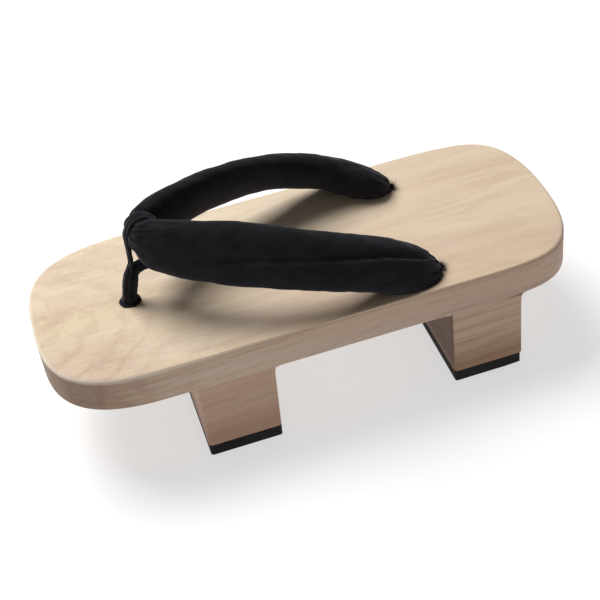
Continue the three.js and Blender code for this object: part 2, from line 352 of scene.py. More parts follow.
@dataclass(frozen=True)
class LightWood:
    """Sanded, unvarnished light wood. Its grain runs along x, in rings round a pith.

    Shares say how strongly a feature shows, from 0 to 1. side_below is the height under which the
    board's sides begin, and front_face and back_face are the x of a tooth's faces, which are less
    streaked by face_plainness.
    """

    name: str
    cream: Colour
    blush: Colour
    straw: Colour
    # Colour of late wood, also used for the painted shade at a tooth's foot
    late_wood_and_shade: Colour
    blush_share: float = 0.8
    straw_share: float = 0.55
    cloud_share: float = 0.6
    ring_share: float = 0.35
    streak_share: float = 0.5
    arch_share: float = 0.0
    heel_share: float = 0.0
    corner_share: float = 0.0
    # Share of the painted highlight on the toe's rim
    rim_highlight_share: float = 0.0
    # Share of painted shade at a tooth's lower end
    foot_shade_share: float = 0.0
    # Share of painted shade on a tooth's front face
    front_shade_share: float = 0.0
    pore_share: float = 0.4
    face_plainness: float = 0.75
    under_rim_dark: float = 0.0
    # Colour of the painted highlight on the toe's rim
    wear_and_highlight: Colour = (0.88, 0.8, 0.69)
    # Colour of the painted shade on a tooth's front face
    front_face_shade: Colour = (0.3, 0.25, 0.235)
    # Painted shade that makes the board's sides darker and greyer than its top
    side_shade: Colour = (1.0, 1.0, 1.0)
    # Painted shade, deeper on the sides round the toe
    toe_side_shade: Colour = (0.52, 0.5, 0.4)
    front_face: float = 1.0
    back_face: float = -1.0
    side_below: float = 1.0
    pith: Range = (0.012, -0.105)
    pith_lean: Range = (0.05, 0.09)
    ring_gap: float = 0.0042
    ring_waver: float = 0.016
    arch_centre: Range = (0.148, 0.004)
    arch_squash: float = 0.62
    arch_gap: float = 0.0098
    arch_waver: float = 0.024
    arch_reach: Range = (0.02, 0.09)
    line_sharpness: float = 3.0
    relief_depth: float = 0.00009
    roughness: float = 0.56
    shine: float = 0.32
    seed: float = 0.0

    def rings(self, graph: Graph, side: Value, depth: Value, waver: Value, gap: float) -> Value:
        """Sharpened sine waves in the distance from a centre.

        Args:
            graph: the wood's graph.
            side: how far a point lies to the side of the centre.
            depth: how far it lies over the centre, or along from it.
            waver: added to the distance.
            gap: from one ring to the next.

        Returns:
            1 in the middle of each ring and 0 between two.
        """
        radius = graph.math("SQRT", side * side + depth * depth) + waver
        wave = graph.math("SINE", radius * (TAU / gap)) * 0.5 + 0.5
        return wave**self.line_sharpness

    def growth_rings(self, graph: Graph, at: Regions) -> Value:
        """Growth rings round the pith, which leans along x.

        Args:
            graph: the wood's graph.
            at: its regions.

        Returns:
            1 in the middle of each ring and 0 between two.
        """
        side = at.across - self.pith[0] + at.along * self.pith_lean[0]
        depth = at.up - self.pith[1] + at.along * self.pith_lean[1]
        waver = RING_WAVER.read(graph, self.seed) * self.ring_waver
        return self.rings(graph, side, depth, waver, self.ring_gap)

    def toe_arches(self, graph: Graph, at: Regions) -> Value:
        """Arched rings where the saw left the grain near the toe, fading out towards the heel.

        Args:
            graph: the wood's graph.
            at: its regions.

        Returns:
            1 in the middle of each ring and 0 between two.
        """
        along = (at.along - self.arch_centre[0]) * self.arch_squash
        waver = ARCH_WAVER.read(graph, self.seed) * self.arch_waver
        arches = self.rings(graph, along, at.across - self.arch_centre[1], waver, self.arch_gap)
        return arches * at.along.step(*self.arch_reach)

    def tone(self, graph: Graph, at: Regions) -> bpy.types.NodeSocket:
        """The ground colour: cream, with bands of blush and straw, ruddier at the heel and toe corner.

        Args:
            graph: the wood's graph.
            at: its regions.

        Returns:
            The colour's socket.
        """
        patterns = (BANDS, STRAW_BANDS, CLOUDS)
        bands, straws, clouds = (pattern.read(graph, self.seed).step(*pattern.levels) for pattern in patterns)
        colour = graph.mix(bands * (1.0 - at.toeward * 0.45) * self.blush_share, self.cream, self.blush)
        colour = graph.mix(straws * self.straw_share, colour, self.straw)
        colour = graph.mix(at.heelward * self.heel_share, colour, self.blush)
        colour = graph.mix(at.corner * self.corner_share, colour, self.blush)
        return graph.mix(clouds * at.toeward * self.cloud_share, colour, self.blush)

    def painted_shade_and_highlights(self, graph: Graph, at: Regions, colour: bpy.types.NodeSocket) -> bpy.types.NodeSocket:
        """Painted shade on the sides and round the toe, a dark line under the rim,
        a painted highlight on the toe's rim, and painted shade on a tooth's foot and front face.

        Args:
            graph: the wood's graph.
            at: its regions.
            colour: the grained colour.

        Returns:
            The colour's socket.
        """
        # Painted shade: the sides under the rim are darker and greyer than the top
        colour = graph.mix(at.edge, colour, graph.mix(1.0, colour, self.side_shade, "MULTIPLY"))
        # Painted shade, deeper on the sides round the toe
        colour = graph.mix(at.toe_side * self.corner_share, colour, self.toe_side_shade, "MULTIPLY")
        # A thin dark line under the rim along the sides, fading towards the toe
        colour = graph.mix(at.under_rim * (1.0 - at.toeward) * self.under_rim_dark, colour, self.late_wood_and_shade)
        # Painted highlight: a pale line along the rounded rim round the toe
        colour = graph.mix(at.rim * at.toeward * self.rim_highlight_share, colour, self.wear_and_highlight)
        # Painted shade: a tooth darkens towards the floor
        colour = graph.mix(at.foot * self.foot_shade_share, colour, self.late_wood_and_shade)
        # Painted shade on a tooth's front face, in the hollow between the teeth
        return graph.mix(at.inner * self.front_shade_share, colour, self.front_face_shade, "MULTIPLY")

    def material(self) -> bpy.types.Material:
        """Makes the material: tone, then rings, streaks, grit and pores in latewood, then painted shade and
        highlights.

        The sides are more streaked than the top, and a tooth's front and back faces less. Streaks,
        fibres, grit and pores also give the relief.

        Returns:
            The material.
        """
        graph = Graph(self.name)
        at = Regions(graph, self)
        patterns = (STREAKS, BROAD_STREAKS, FIBRES, PORE_PATCHES, GRIT)
        streaks, broad, fibres, patches, grit = (pattern.read(graph, self.seed) for pattern in patterns)
        pores = 1.0 - graph.cells(PORES.place(graph, self.seed)).step(*PORES.levels)
        pore = pores * patches.step(*PORE_PATCHES.levels) * (0.3 + at.along.step(-0.03, 0.08) * 0.7)
        lengthwise = (1.0 - (at.inner + at.outer) * self.face_plainness) * self.streak_share
        colour = self.tone(graph, at)
        for share in (
            self.growth_rings(graph, at) * self.ring_share,
            self.toe_arches(graph, at) * self.arch_share * (0.35 + at.corner * 0.65),
            streaks.step(*STREAKS.levels) * (0.4 + at.edge * 0.6) * lengthwise,
            broad.step(*BROAD_STREAKS.levels) * (0.15 + at.edge * 0.7) * lengthwise,
            grit.step(*GRIT.levels) * (0.14 + at.toeward * 0.16),
        ):
            colour = graph.mix(share, colour, self.late_wood_and_shade)
        colour = graph.mix(pore * self.pore_share, colour, self.late_wood_and_shade, "MULTIPLY")
        height = streaks * 0.4 + fibres * 0.4 + grit * 0.2 - pore * 0.6
        return graph.set(
            Base_Color=self.painted_shade_and_highlights(graph, at, colour),
            Roughness=self.roughness + streaks * 0.14 + pore * 0.1,
            Normal=graph.relief(height, self.relief_depth),
            Specular_IOR_Level=self.shine,
        )


@dataclass(frozen=True)
class TreadRubber:
    """Matt black sheet rubber, dusty at its edges and finely pitted where it was cut."""

    name: str = "tread_rubber"
    black: Colour = (0.006, 0.006, 0.006)
    dust: Colour = (0.022, 0.021, 0.02)

    def material(self) -> bpy.types.Material:
        """Makes the material: dust in clouds over black, with a relief of pits and cut lines.

        Returns:
            The material.
        """
        graph = Graph(self.name)
        clouds = graph.noise(graph.place((90.0, 90.0, 160.0)), 4.0, 0.6)
        cuts = graph.noise(graph.place((260.0, 260.0, 2600.0)), 2.0, 0.5)
        pits = graph.cells(graph.place((1500.0, 1500.0, 1500.0)))
        return graph.set(
            Base_Color=graph.mix(clouds.step(0.42, 0.78), self.black, self.dust),
            Roughness=0.72 + clouds * 0.2,
            Normal=graph.relief(cuts * 0.6 + pits * 0.4, 0.00012),
            Specular_IOR_Level=0.3,
        )


@dataclass(frozen=True)
class Velvet:
    """Short black pile. The pile lies along the piece and is brushed into faint patches."""

    name: str
    black: Colour = (0.0088, 0.0086, 0.0106)
    brushed: Colour = (0.02, 0.0195, 0.024)
    sheen: float = 0.4
    sheen_tint: Colour = (0.34, 0.34, 0.42)

    def material(self) -> bpy.types.Material:
        """Makes the material: brushed patches and single tufts of pile in colour and relief.

        Returns:
            The material.
        """
        graph = Graph(self.name)
        patches = graph.noise(graph.place((70.0, 130.0, 130.0)), 4.0, 0.6, 0.6)
        tufts = graph.noise(graph.place((1300.0, 2100.0, 2100.0)), 3.0, 0.7)
        rows = graph.noise(graph.place((260.0, 900.0, 900.0)), 2.0, 0.6)
        lift = patches.step(0.4, 0.75) * 0.6 + tufts.step(0.5, 0.85) * 0.4
        return graph.set(
            Base_Color=graph.mix(lift, self.black, self.brushed),
            Roughness=0.88 + patches * 0.12,
            Normal=graph.relief(tufts * 0.7 + rows * 0.3, 0.00022),
            Specular_IOR_Level=0.16,
            Sheen_Weight=self.sheen,
            Sheen_Roughness=0.42,
            Sheen_Tint=(*self.sheen_tint, 1.0),
        )


@dataclass(frozen=True)
class TwistedCord:
    """Dark cotton cord, with fine yarns in each ply."""

    name: str = "cord"
    dark: Colour = (0.008, 0.0075, 0.0075)
    wear_and_highlight: Colour = (0.03, 0.028, 0.027)

    def material(self) -> bpy.types.Material:
        """Makes the material: slanted yarns as a wave round and along each ply.

        Returns:
            The material.
        """
        graph = Graph(self.name)
        slant = graph.run("X") * 2600.0 + graph.run("Y") * 5200.0
        yarns = graph.math("SINE", slant) * 0.5 + 0.5
        lint = graph.noise(graph.place((900.0, 900.0, 900.0)), 3.0, 0.6)
        return graph.set(
            Base_Color=graph.mix(yarns * 0.5 + lint * 0.4, self.dark, self.wear_and_highlight),
            Roughness=0.85 + lint * 0.1,
            Normal=graph.relief(yarns * 0.7 + lint * 0.3, 0.00022),
            Specular_IOR_Level=0.2,
        )


@dataclass(frozen=True)
class StudioFloor:
    """Plain pale floor, faintly lit from below as a light table is."""

    name: str = "studio_floor"
    pale: Colour = (0.46, 0.46, 0.46)
    bright: Colour = (0.5, 0.5, 0.5)
    glow: float = 0.6

    def material(self) -> bpy.types.Material:
        """Makes the material: one even colour with a trace of tone, so that it reads as paper.

        Returns:
            The material.
        """
        graph = Graph(self.name)
        tone = graph.noise(graph.place((3.0, 3.0, 3.0)), 2.0) * 0.02
        return graph.set(
            Base_Color=graph.mix(tone, self.pale, self.bright),
            Roughness=0.9,
            Specular_IOR_Level=0.1,
            Emission_Color=(1.0, 1.0, 1.0, 1.0),
            Emission_Strength=self.glow,
        )


BOARD_WOOD = LightWood(
    name="board_wood",
    cream=(0.735, 0.63, 0.475),
    blush=(0.565, 0.415, 0.31),
    straw=(0.69, 0.56, 0.37),
    late_wood_and_shade=(0.4, 0.26, 0.18),
    blush_share=0.7,
    ring_share=0.12,
    streak_share=0.62,
    arch_share=0.4,
    heel_share=0.35,
    # Also sets the strength of the painted shade on the toe's sides
    corner_share=0.75,
    # Painted highlight on the toe's rim
    rim_highlight_share=0.5,
    under_rim_dark=0.75,
    # Painted shade on the sides
    side_shade=(0.82, 0.752, 0.771),
    side_below=0.0602,
)
FRONT_TOOTH_WOOD = LightWood(
    name="front_tooth_wood",
    cream=(0.53, 0.355, 0.27),
    blush=(0.49, 0.3, 0.235),
    straw=(0.51, 0.365, 0.22),
    late_wood_and_shade=(0.33, 0.18, 0.11),
    ring_share=0.16,
    streak_share=0.5,
    # Painted shade at the lower end
    foot_shade_share=0.55,
    front_face=0.0631,
    back_face=0.0284,
    pith=(0.09, 0.2),
    ring_gap=0.006,
    seed=3.7,
)
REAR_TOOTH_WOOD = LightWood(
    name="rear_tooth_wood",
    cream=(0.56, 0.42, 0.315),
    blush=(0.51, 0.36, 0.265),
    straw=(0.54, 0.4, 0.265),
    late_wood_and_shade=(0.26, 0.125, 0.062),
    ring_share=0.2,
    streak_share=0.7,
    # Painted shade at the lower end
    foot_shade_share=0.8,
    # Painted shade on the front face
    front_shade_share=0.95,
    front_face=-0.0566,
    back_face=-0.0914,
    pith=(0.12, 0.16),
    ring_gap=0.0075,
    seed=8.2,
)
VELVET = Velvet("velvet")
LOOP_VELVET = Velvet("loop_velvet")


# Surfaces


def closed_faces(rows: int, columns: int) -> list[tuple[int, ...]]:
    """Faces of a grid whose columns close on themselves.

    Args:
        rows: the grid's rows.
        columns: points in each row.

    Returns:
        A quad for each cell, and one face over each end.
    """
    row, column = np.meshgrid(np.arange(rows - 1), np.arange(columns), indexing="ij")
    after = (column + 1) % columns
    below, above = row * columns, (row + 1) * columns
    quads = np.stack([below + column, below + after, above + after, above + column], axis=-1)
    start = tuple(range(columns - 1, -1, -1))
    end = tuple(range((rows - 1) * columns, rows * columns))
    return [*map(tuple, quads.reshape(-1, 4).tolist()), start, end]


def signed_volume(points: Array) -> float:
    """The sum of the volumes of the pyramids from a closed grid's quads to its middle, times six.

    The faces over its two ends are left out, as only the sum's sign is read.

    Args:
        points: rows, columns and three coordinates.

    Returns:
        The sum, above 0 where the faces look outwards and below 0 where they look inwards.
    """
    grid = points - points.reshape(-1, 3).mean(0)
    after = np.roll(grid, -1, axis=1)
    return float(
        np.einsum("ijk,ijk->", grid[:-1], np.cross(after[:-1], after[1:]))
        + np.einsum("ijk,ijk->", grid[:-1], np.cross(after[1:], grid[1:]))
    )


def run_of(points: Array) -> Array:
    """Distance along and round a grid.

    The distance along is the mean over a row's points, and the one round is summed from column 0.

    Args:
        points: rows, columns and three coordinates in millimetres.

    Returns:
        Both distances at each point in metres, with one more column than the grid.
    """
    along = np.linalg.norm(np.diff(points, axis=0), axis=2).mean(1)
    along = np.concatenate([[0.0], np.cumsum(along)])
    closed = np.concatenate([points, points[:, :1]], axis=1)
    around = np.linalg.norm(np.diff(closed, axis=1), axis=2)
    around = np.concatenate([np.zeros((len(points), 1)), np.cumsum(around, axis=1)], axis=1)
    return np.stack([np.broadcast_to(along[:, None], around.shape), around], axis=-1) * MM


def add_surface(name: str, grids: Sequence[Array], sharp_degrees: float | None = None) -> bpy.types.Object:
    """Makes one object of closed grids.

    Args:
        name: the object's name.
        grids: arrays of rows, columns and three coordinates in millimetres, closed round their columns.
        sharp_degrees: edges that turn by more than this stay sharp.

    Returns:
        The object, with faces outwards, smooth, and a UV map called run.
    """
    vertices: list[Array] = []
    faces: list[tuple[int, ...]] = []
    corners: list[Array] = []
    for grid in grids:
        base = sum(map(len, vertices))
        rows, columns = grid.shape[:2]
        turned = grid if signed_volume(grid) > 0 else grid[:, ::-1]
        run = run_of(turned)
        quad_run = np.stack([run[:-1, :-1], run[:-1, 1:], run[1:, 1:], run[1:, :-1]], axis=2)
        corners += [quad_run.reshape(-1, 2), run[0, columns - 1 :: -1], run[-1, :columns]]
        vertices.append(turned.reshape(-1, 3) * MM)
        faces += [tuple(base + corner for corner in face) for face in closed_faces(rows, columns)]
    mesh = bpy.data.meshes.new(name)
    mesh.from_pydata(np.concatenate(vertices).tolist(), [], faces)
    mesh.uv_layers.new(name="run").data.foreach_set("uv", np.concatenate(corners).astype(np.float32).ravel())
    mesh.shade_smooth()
    if sharp_degrees is not None:
        mesh.set_sharp_from_angle(angle=np.radians(sharp_degrees))
    piece = bpy.data.objects.new(name, mesh)
    bpy.context.scene.collection.objects.link(piece)
    return piece


def cut(piece: bpy.types.Object, cutters: Sequence[bpy.types.Object]) -> None:
    """Cuts the cutters out of a piece for good and removes them.

    Args:
        piece: the object to cut.
        cutters: closed objects.
    """
    for cutter in cutters:
        modifier = piece.modifiers.new("hole", "BOOLEAN")
        modifier.operation = "DIFFERENCE"
        modifier.solver = "EXACT"
        modifier.object = cutter
    graph = bpy.context.evaluated_depsgraph_get()
    made = bpy.data.meshes.new_from_object(piece.evaluated_get(graph))
    piece.modifiers.clear()
    piece.data = made
    made.shade_smooth()
    made.set_sharp_from_angle(angle=np.radians(SHARP_DEGREES))
    for cutter in cutters:
        bpy.data.objects.remove(cutter)


def dress(piece: bpy.types.Object, finish: bpy.types.Material, slot: str, *nodes: str) -> None:
    """Gives a new piece its finish and its place in the frame.

    Args:
        piece: the new piece.
        finish: its material.
        slot: not used.
        *nodes: the CAD nodes that it stands for.
    """
    piece.data.materials.clear()
    piece.data.materials.append(finish)
    if nodes:
        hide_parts(*nodes)
    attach(piece, BODY)


def cubic(stations: Array, where: Array, at: Array) -> Array:
    """Values between stations, on a cubic through each pair that leaves with the slope of its neighbours.

    Args:
        stations: one row of values for each station.
        where: each station's distance.
        at: distances to read.

    Returns:
        One row of values for each distance.
    """
    slopes = np.empty_like(stations)
    slopes[1:-1] = (stations[2:] - stations[:-2]) / (where[2:] - where[:-2])[:, None]
    slopes[0] = (stations[1] - stations[0]) / (where[1] - where[0])
    slopes[-1] = (stations[-1] - stations[-2]) / (where[-1] - where[-2])
    index = np.clip(np.searchsorted(where, at, side="right") - 1, 0, len(where) - 2)
    span = (where[index + 1] - where[index])[:, None]
    share = (at[:, None] - where[index][:, None]) / span
    start, end = stations[index], stations[index + 1]
    leave, arrive = slopes[index] * span, slopes[index + 1] * span
    bend = 2 * start - 2 * end + leave + arrive
    swing = 3 * end - 3 * start - 2 * leave - arrive
    return ((bend * share + swing) * share + leave) * share + start


def smooth_step(value: Array, low: float, high: float) -> Array:
    """A smooth rise from 0 at low to 1 at high."""
    share = np.clip((value - low) / (high - low), 0.0, 1.0)
    return share * share * (3.0 - 2.0 * share)


def bell(value: Array, half_width: float) -> Array:
    """A bell curve: 1 at 0, and 1/e at the half width on either side."""
    return np.exp(-((value / half_width) ** 2))


def unit(vectors: Array) -> Array:
    """Vectors along the last axis, each made one long."""
    return vectors / np.linalg.norm(vectors, axis=-1, keepdims=True)


def lengths_along(points: Array) -> Array:
    """Distance along a line of points at each of them, from 0."""
    return np.concatenate([[0], np.cumsum(np.linalg.norm(np.diff(points, axis=0), axis=1))])


def sines(angle: Array, waves: Sequence[Wave]) -> Array:
    """A sum of sines of an angle, each given by its height, turns and phase."""
    return sum(height * np.sin(angle * turns + phase) for height, turns, phase in waves)


@dataclass(frozen=True)
class Unevenness:
    """Soft bumps: a sum of sines along and round a piece, each with a random length, turns and phase.

    pitch is the shortest and longest wave along in millimetres. A wave turns round the piece fewer
    than turns_below times, and closer times as often. The sines' mean is multiplied by the root of
    their number and by evening, so that the bumps are about height tall for any number of waves.
    """

    height: float
    waves: int
    pitch: Range
    closer: int = 1
    turns_below: int = 5
    evening: float = 0.7

    def heights(self, rng: np.random.Generator, along: Array, angle: Array) -> Array:
        """The bumps at each point.

        Args:
            rng: the seeded source of numbers.
            along: distance along, in millimetres.
            angle: angle round, in radians.

        Returns:
            Heights in millimetres.
        """
        length = rng.uniform(*self.pitch, self.waves)[:, None, None]
        turns = rng.integers(0, self.turns_below, self.waves)[:, None, None]
        phase = rng.uniform(0, TAU, self.waves)[:, None, None]
        bumps = np.sin(along * TAU / length + angle * self.closer * turns + phase).mean(0)
        return self.height * bumps * np.sqrt(self.waves) * self.evening


# Wood


@dataclass(frozen=True)
class BoardEnd:
    """One rounded end: a quarter superellipse, its length and its exponents along and across."""

    length: float
    along: float
    across: float

    def quarter(self, turn: Array) -> tuple[Array, Array]:
        """Points of the end's outline: length cos^(2/along), and half the width times sin^(2/across).

        Args:
            turn: from the tip (0) to the straight side (1).

        Returns:
            Distance past the straight side, and half width.
        """
        angle = turn * np.pi / 2
        reach = self.length * np.clip(np.cos(angle), 0, 1) ** (2 / self.along)
        return reach, BOARD_WIDTH / 2 * np.sin(angle) ** (2 / self.across)


@dataclass(frozen=True)
class ToothShape:
    """One tooth. Its front and back faces are given as x under the board and at the floor.

    node and pad are its CAD nodes, corner is the radius of its upright edges, and the first rings
    stand over the pad by foot_rings times bottom_edge.
    """

    node: str
    pad: str
    front_top: float
    back_top: float
    front_floor: float
    back_floor: float
    half_width: float = 50.0
    corner: float = 1.4
    corner_points: int = 7
    pad_thickness: float = 5.9
    fillet_out: float = 1.1
    fillet_down: float = 6.0
    bottom_edge: float = 0.35
    foot_rings: tuple[float, ...] = (0.0, 0.3, 1.0)
    middle_rings: int = 6
    fillet_rings: int = 9

    def faces(self, height: Array) -> tuple[Array, Array]:
        """x of the front and back faces, straight but for a small hollow quarter round under the board.

        Args:
            height: over the floor.

        Returns:
            x of the front face and x of the back face.
        """
        share = height / UNDERSIDE
        flare = np.clip(1 - (UNDERSIDE - height) / self.fillet_down, 0, 1)
        fillet = self.fillet_out * (1 - np.sqrt(1 - flare * flare))
        front = self.front_floor + (self.front_top - self.front_floor) * share + fillet
        back = self.back_floor + (self.back_top - self.back_floor) * share - fillet
        return front, back

    def surface(self) -> Array:
        """Rings of a rounded rectangle: four arcs whose middles follow the faces, drawn in at the foot.

        Returns:
            A closed grid.
        """
        foot = self.pad_thickness + self.bottom_edge * np.array(self.foot_rings)
        flare = UNDERSIDE - self.fillet_down * np.linspace(1, 0, self.fillet_rings)
        between = np.linspace(foot[-1], flare[0], self.middle_rings + 2)[1:-1]
        height = np.concatenate([foot, between, flare])
        draw = self.bottom_edge * np.clip(1 - (height - foot[0]) / self.bottom_edge, 0, 1) ** 2
        front, back = self.faces(height)
        arc = np.linspace(0, 90, self.corner_points)
        angle = np.concatenate([arc + quarter for quarter in (0, 90, 180, 270)]) * np.pi / 180
        ahead = np.repeat([1, -1, -1, 1], self.corner_points)
        left = np.repeat([1, 1, -1, -1], self.corner_points)
        front_middle, back_middle = front - self.corner - draw, back + self.corner + draw
        middle_x = np.where(ahead > 0, front_middle[:, None], back_middle[:, None])
        middle_y = left * (self.half_width - self.corner - draw[:, None])
        x = middle_x + self.corner * np.cos(angle)
        y = middle_y + self.corner * np.sin(angle)
        return np.stack([x, y, np.broadcast_to(height[:, None], x.shape)], axis=-1)


@dataclass
class Sole:
    """The board, its two teeth and the rubber pads under them.

    The top edge's radius grows from side_edge over the x of toe_rounds and heel_rounds, and the
    bottom edge dies away over the x of flush on either side of a tooth. support and inset say how far
    past each edge a last ring lies on the sides and on the flat faces, which keeps their shading even.
    """

    length: float = 250.0
    side_edge: float = 0.5
    toe_edge: float = 1.9
    heel_edge: float = 1.6
    toe_rounds: Range = (58.0, 96.0)
    heel_rounds: Range = (74.0, 112.0)
    bottom_edge: float = 0.8
    bottom_rings: int = 5
    top_rings: int = 9
    flush: Range = (1.2, 2.4)
    support: float = 0.5
    inset: float = 0.6
    toe: BoardEnd = BoardEnd(52.0, 2.64, 3.16)
    heel: BoardEnd = BoardEnd(110.0, 10.3, 2.24)
    outline_points: int = 220
    fine_points: int = 2001
    front_tooth: ToothShape = ToothShape("front_tooth", "front_pad", 63.4, 27.2, 63.1, 28.6)
    rear_tooth: ToothShape = ToothShape("rear_tooth", "rear_pad", -55.6, -91.4, -57.6, -91.6, half_width=49.9)
    front_hole_x: float = 79.3
    front_hole_radius: float = 4.1
    recess_radius: Range = (12.0, 11.0)
    recess_depth: float = 5.0
    shoulder_step: float = 0.01
    side_hole_x: float = -54.4
    side_hole_under_x: float = -45.2
    side_hole_out: float = 34.6
    side_hole_radius: float = 3.5
    mouth_edge: float = 0.8
    mouth_rings: int = 7
    hole_sides: int = 48
    cut_past: float = 2.0

    def outline(self) -> tuple[Array, Array]:
        """The board's outline, counter-clockwise from the toe's tip, and its outward directions.

        Both ends' quarter curves are worked out finely, joined, and read again at even distances.

        Returns:
            The points and the directions, as x and y.
        """
        turn = np.linspace(0, 1, self.fine_points)
        toe_reach, toe_half = self.toe.quarter(turn)
        heel_reach, heel_half = self.heel.quarter(turn[::-1])
        toe_x = self.length / 2 - self.toe.length + toe_reach
        x = np.concatenate([toe_x, self.heel.length - self.length / 2 - heel_reach])
        y = np.concatenate([toe_half, heel_half])
        far = lengths_along(np.stack([x, y], axis=-1))
        even = np.linspace(0, far[-1], self.outline_points)
        left = np.stack([np.interp(even, far, x), np.interp(even, far, y)], axis=-1)
        points = np.concatenate([left, (left * (1, -1))[-2:0:-1]])
        way = unit(np.roll(points, -1, axis=0) - np.roll(points, 1, axis=0))
        return points, np.stack([way[:, 1], -way[:, 0]], axis=-1)

    def over_tooth(self, x: Array) -> Array:
        """Where a tooth joins the underside, as the joint is sanded flush.

        Args:
            x: places along the board.

        Returns:
            1 over a tooth and 0 elsewhere.
        """
        near, far = self.flush
        blocks = [
            smooth_step(x, tooth.back_top - far, tooth.back_top - near)
            * (1 - smooth_step(x, tooth.front_top + near, tooth.front_top + far))
            for tooth in (self.front_tooth, self.rear_tooth)
        ]
        return np.clip(sum(blocks), 0, 1)

    def board_surface(self) -> Array:
        """Rings of the outline from the underside to the top.

        The bottom edge is a small quarter round that dies away over the teeth, and the top edge is a
        quarter round that grows from crisp along the sides to softer round both ends.

        Returns:
            A closed grid.
        """
        points, outward = self.outline()
        x = points[:, 0]
        keep = 1 - self.over_tooth(x)
        toe_part = (self.toe_edge - self.side_edge) * smooth_step(x, *self.toe_rounds)
        heel_part = (self.heel_edge - self.side_edge) * smooth_step(-x, *self.heel_rounds)
        top_edge = self.side_edge + toe_part + heel_part
        low = np.radians(np.linspace(-90, 0, self.bottom_rings))[:, None]
        high = np.radians(np.linspace(0, 90, self.top_rings))[:, None]
        inset_low = self.bottom_edge * (1 - np.cos(low)) * keep
        lift_low = UNDERSIDE + self.bottom_edge * (1 + np.sin(low)) * keep
        inset_high = top_edge * (1 - np.cos(high))
        lift_high = BOARD_TOP - top_edge * (1 - np.sin(high))
        zero = np.zeros((1, len(x)))
        over_bottom = zero + UNDERSIDE + self.bottom_edge + self.support
        under_rim = lift_high[:1] - self.support
        inset = [inset_low[:1] + self.inset, inset_low, zero, zero, inset_high, inset_high[-1:] + self.inset]
        lift = [zero + UNDERSIDE, lift_low, over_bottom, under_rim, lift_high, lift_high[-1:]]
        flat = points[None] - np.concatenate(inset)[..., None] * outward[None]
        return np.concatenate([flat, np.concatenate(lift)[..., None]], axis=-1)

    def hole(self, radius: Array, height: Array, x: Array, y: Array) -> Array:
        """A closed way through the board: a circle at each height, x + radius cos and y + radius sin.

        Args:
            radius: of each circle.
            height: of each circle over the floor.
            x: of each circle's middle.
            y: of each circle's middle.

        Returns:
            A closed grid.
        """
        angle = np.linspace(0, TAU, self.hole_sides, endpoint=False)
        ring_x = x[:, None] + radius[:, None] * np.cos(angle)
        ring_y = y[:, None] + radius[:, None] * np.sin(angle)
        return np.stack([ring_x, ring_y, np.broadcast_to(height[:, None], ring_x.shape)], axis=-1)

    def mouth(self) -> tuple[Array, Array]:
        """A hole's mouth: a quarter round from its straight way up to over the board's top.

        Returns:
            How far the mouth opens, and the height where it does.
        """
        angle = np.radians(np.linspace(0, 90, self.mouth_rings))
        widen = self.mouth_edge * (1 - np.cos(angle))
        height = BOARD_TOP - self.mouth_edge + self.mouth_edge * np.sin(angle)
        return np.append(widen, self.mouth_edge), np.append(height, BOARD_TOP + self.cut_past)

    def side_way(self, side: Side, height: Array) -> tuple[Array, Array]:
        """A side hole's middle: a straight line from under the strap's end down to the knot.

        Args:
            side: the strap's side.
            height: over the floor.

        Returns:
            x and y at each height.
        """
        share = (BOARD_TOP - height) / BOARD_THICKNESS
        shift_x, shift_y = END_SHIFT[side]
        top_share = np.maximum(1 - share, 0)
        x = self.side_hole_x + (self.side_hole_under_x - self.side_hole_x) * share + shift_x * top_share
        return x, side.value * self.side_hole_out + shift_y * top_share

    def side_hole(self, side: Side) -> Array:
        """The slanted way of one side hole.

        Args:
            side: the strap's side.

        Returns:
            A closed grid.
        """
        widen, height = self.mouth()
        height = np.concatenate([[UNDERSIDE - self.cut_past], height])
        radius = self.side_hole_radius + np.concatenate([[0], widen])
        return self.hole(radius, height, *self.side_way(side, height))

    def front_hole(self) -> Array:
        """The straight way of the toe hole, with the recess for its knot.

        Returns:
            A closed grid.
        """
        widen, height = self.mouth()
        shoulder = UNDERSIDE + self.recess_depth
        low = [UNDERSIDE - self.cut_past, shoulder, shoulder + self.shoulder_step]
        height = np.concatenate([low, height])
        straight = self.front_hole_radius
        radius = np.concatenate([self.recess_radius, [straight], straight + widen])
        return self.hole(radius, height, np.full(len(height), self.front_hole_x), np.zeros(len(height)))

    def build(self) -> None:
        """Makes the board and the teeth, and dresses them and the pads."""
        board = add_surface("board_plank", [self.board_surface()])
        holes = [self.front_hole(), self.side_hole(Side.LEFT), self.side_hole(Side.RIGHT)]
        cut(board, [add_surface(f"hole_{number}", [hole]) for number, hole in enumerate(holes)])
        dress(board, BOARD_WOOD.material(), "board_wood", "board")
        for tooth, wood in ((self.front_tooth, FRONT_TOOTH_WOOD), (self.rear_tooth, REAR_TOOTH_WOOD)):
            block = add_surface(f"{tooth.node}_block", [tooth.surface()], SHARP_DEGREES)
            dress(block, wood.material(), "tooth_wood", tooth.node)
        rubber = TreadRubber().material()
        for tooth in (self.front_tooth, self.rear_tooth):
            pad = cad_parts[tooth.pad]
            pad.data.materials.clear()
            pad.data.materials.append(rubber)
        LOG.info("sole: board, two teeth and two pads")


# Straps


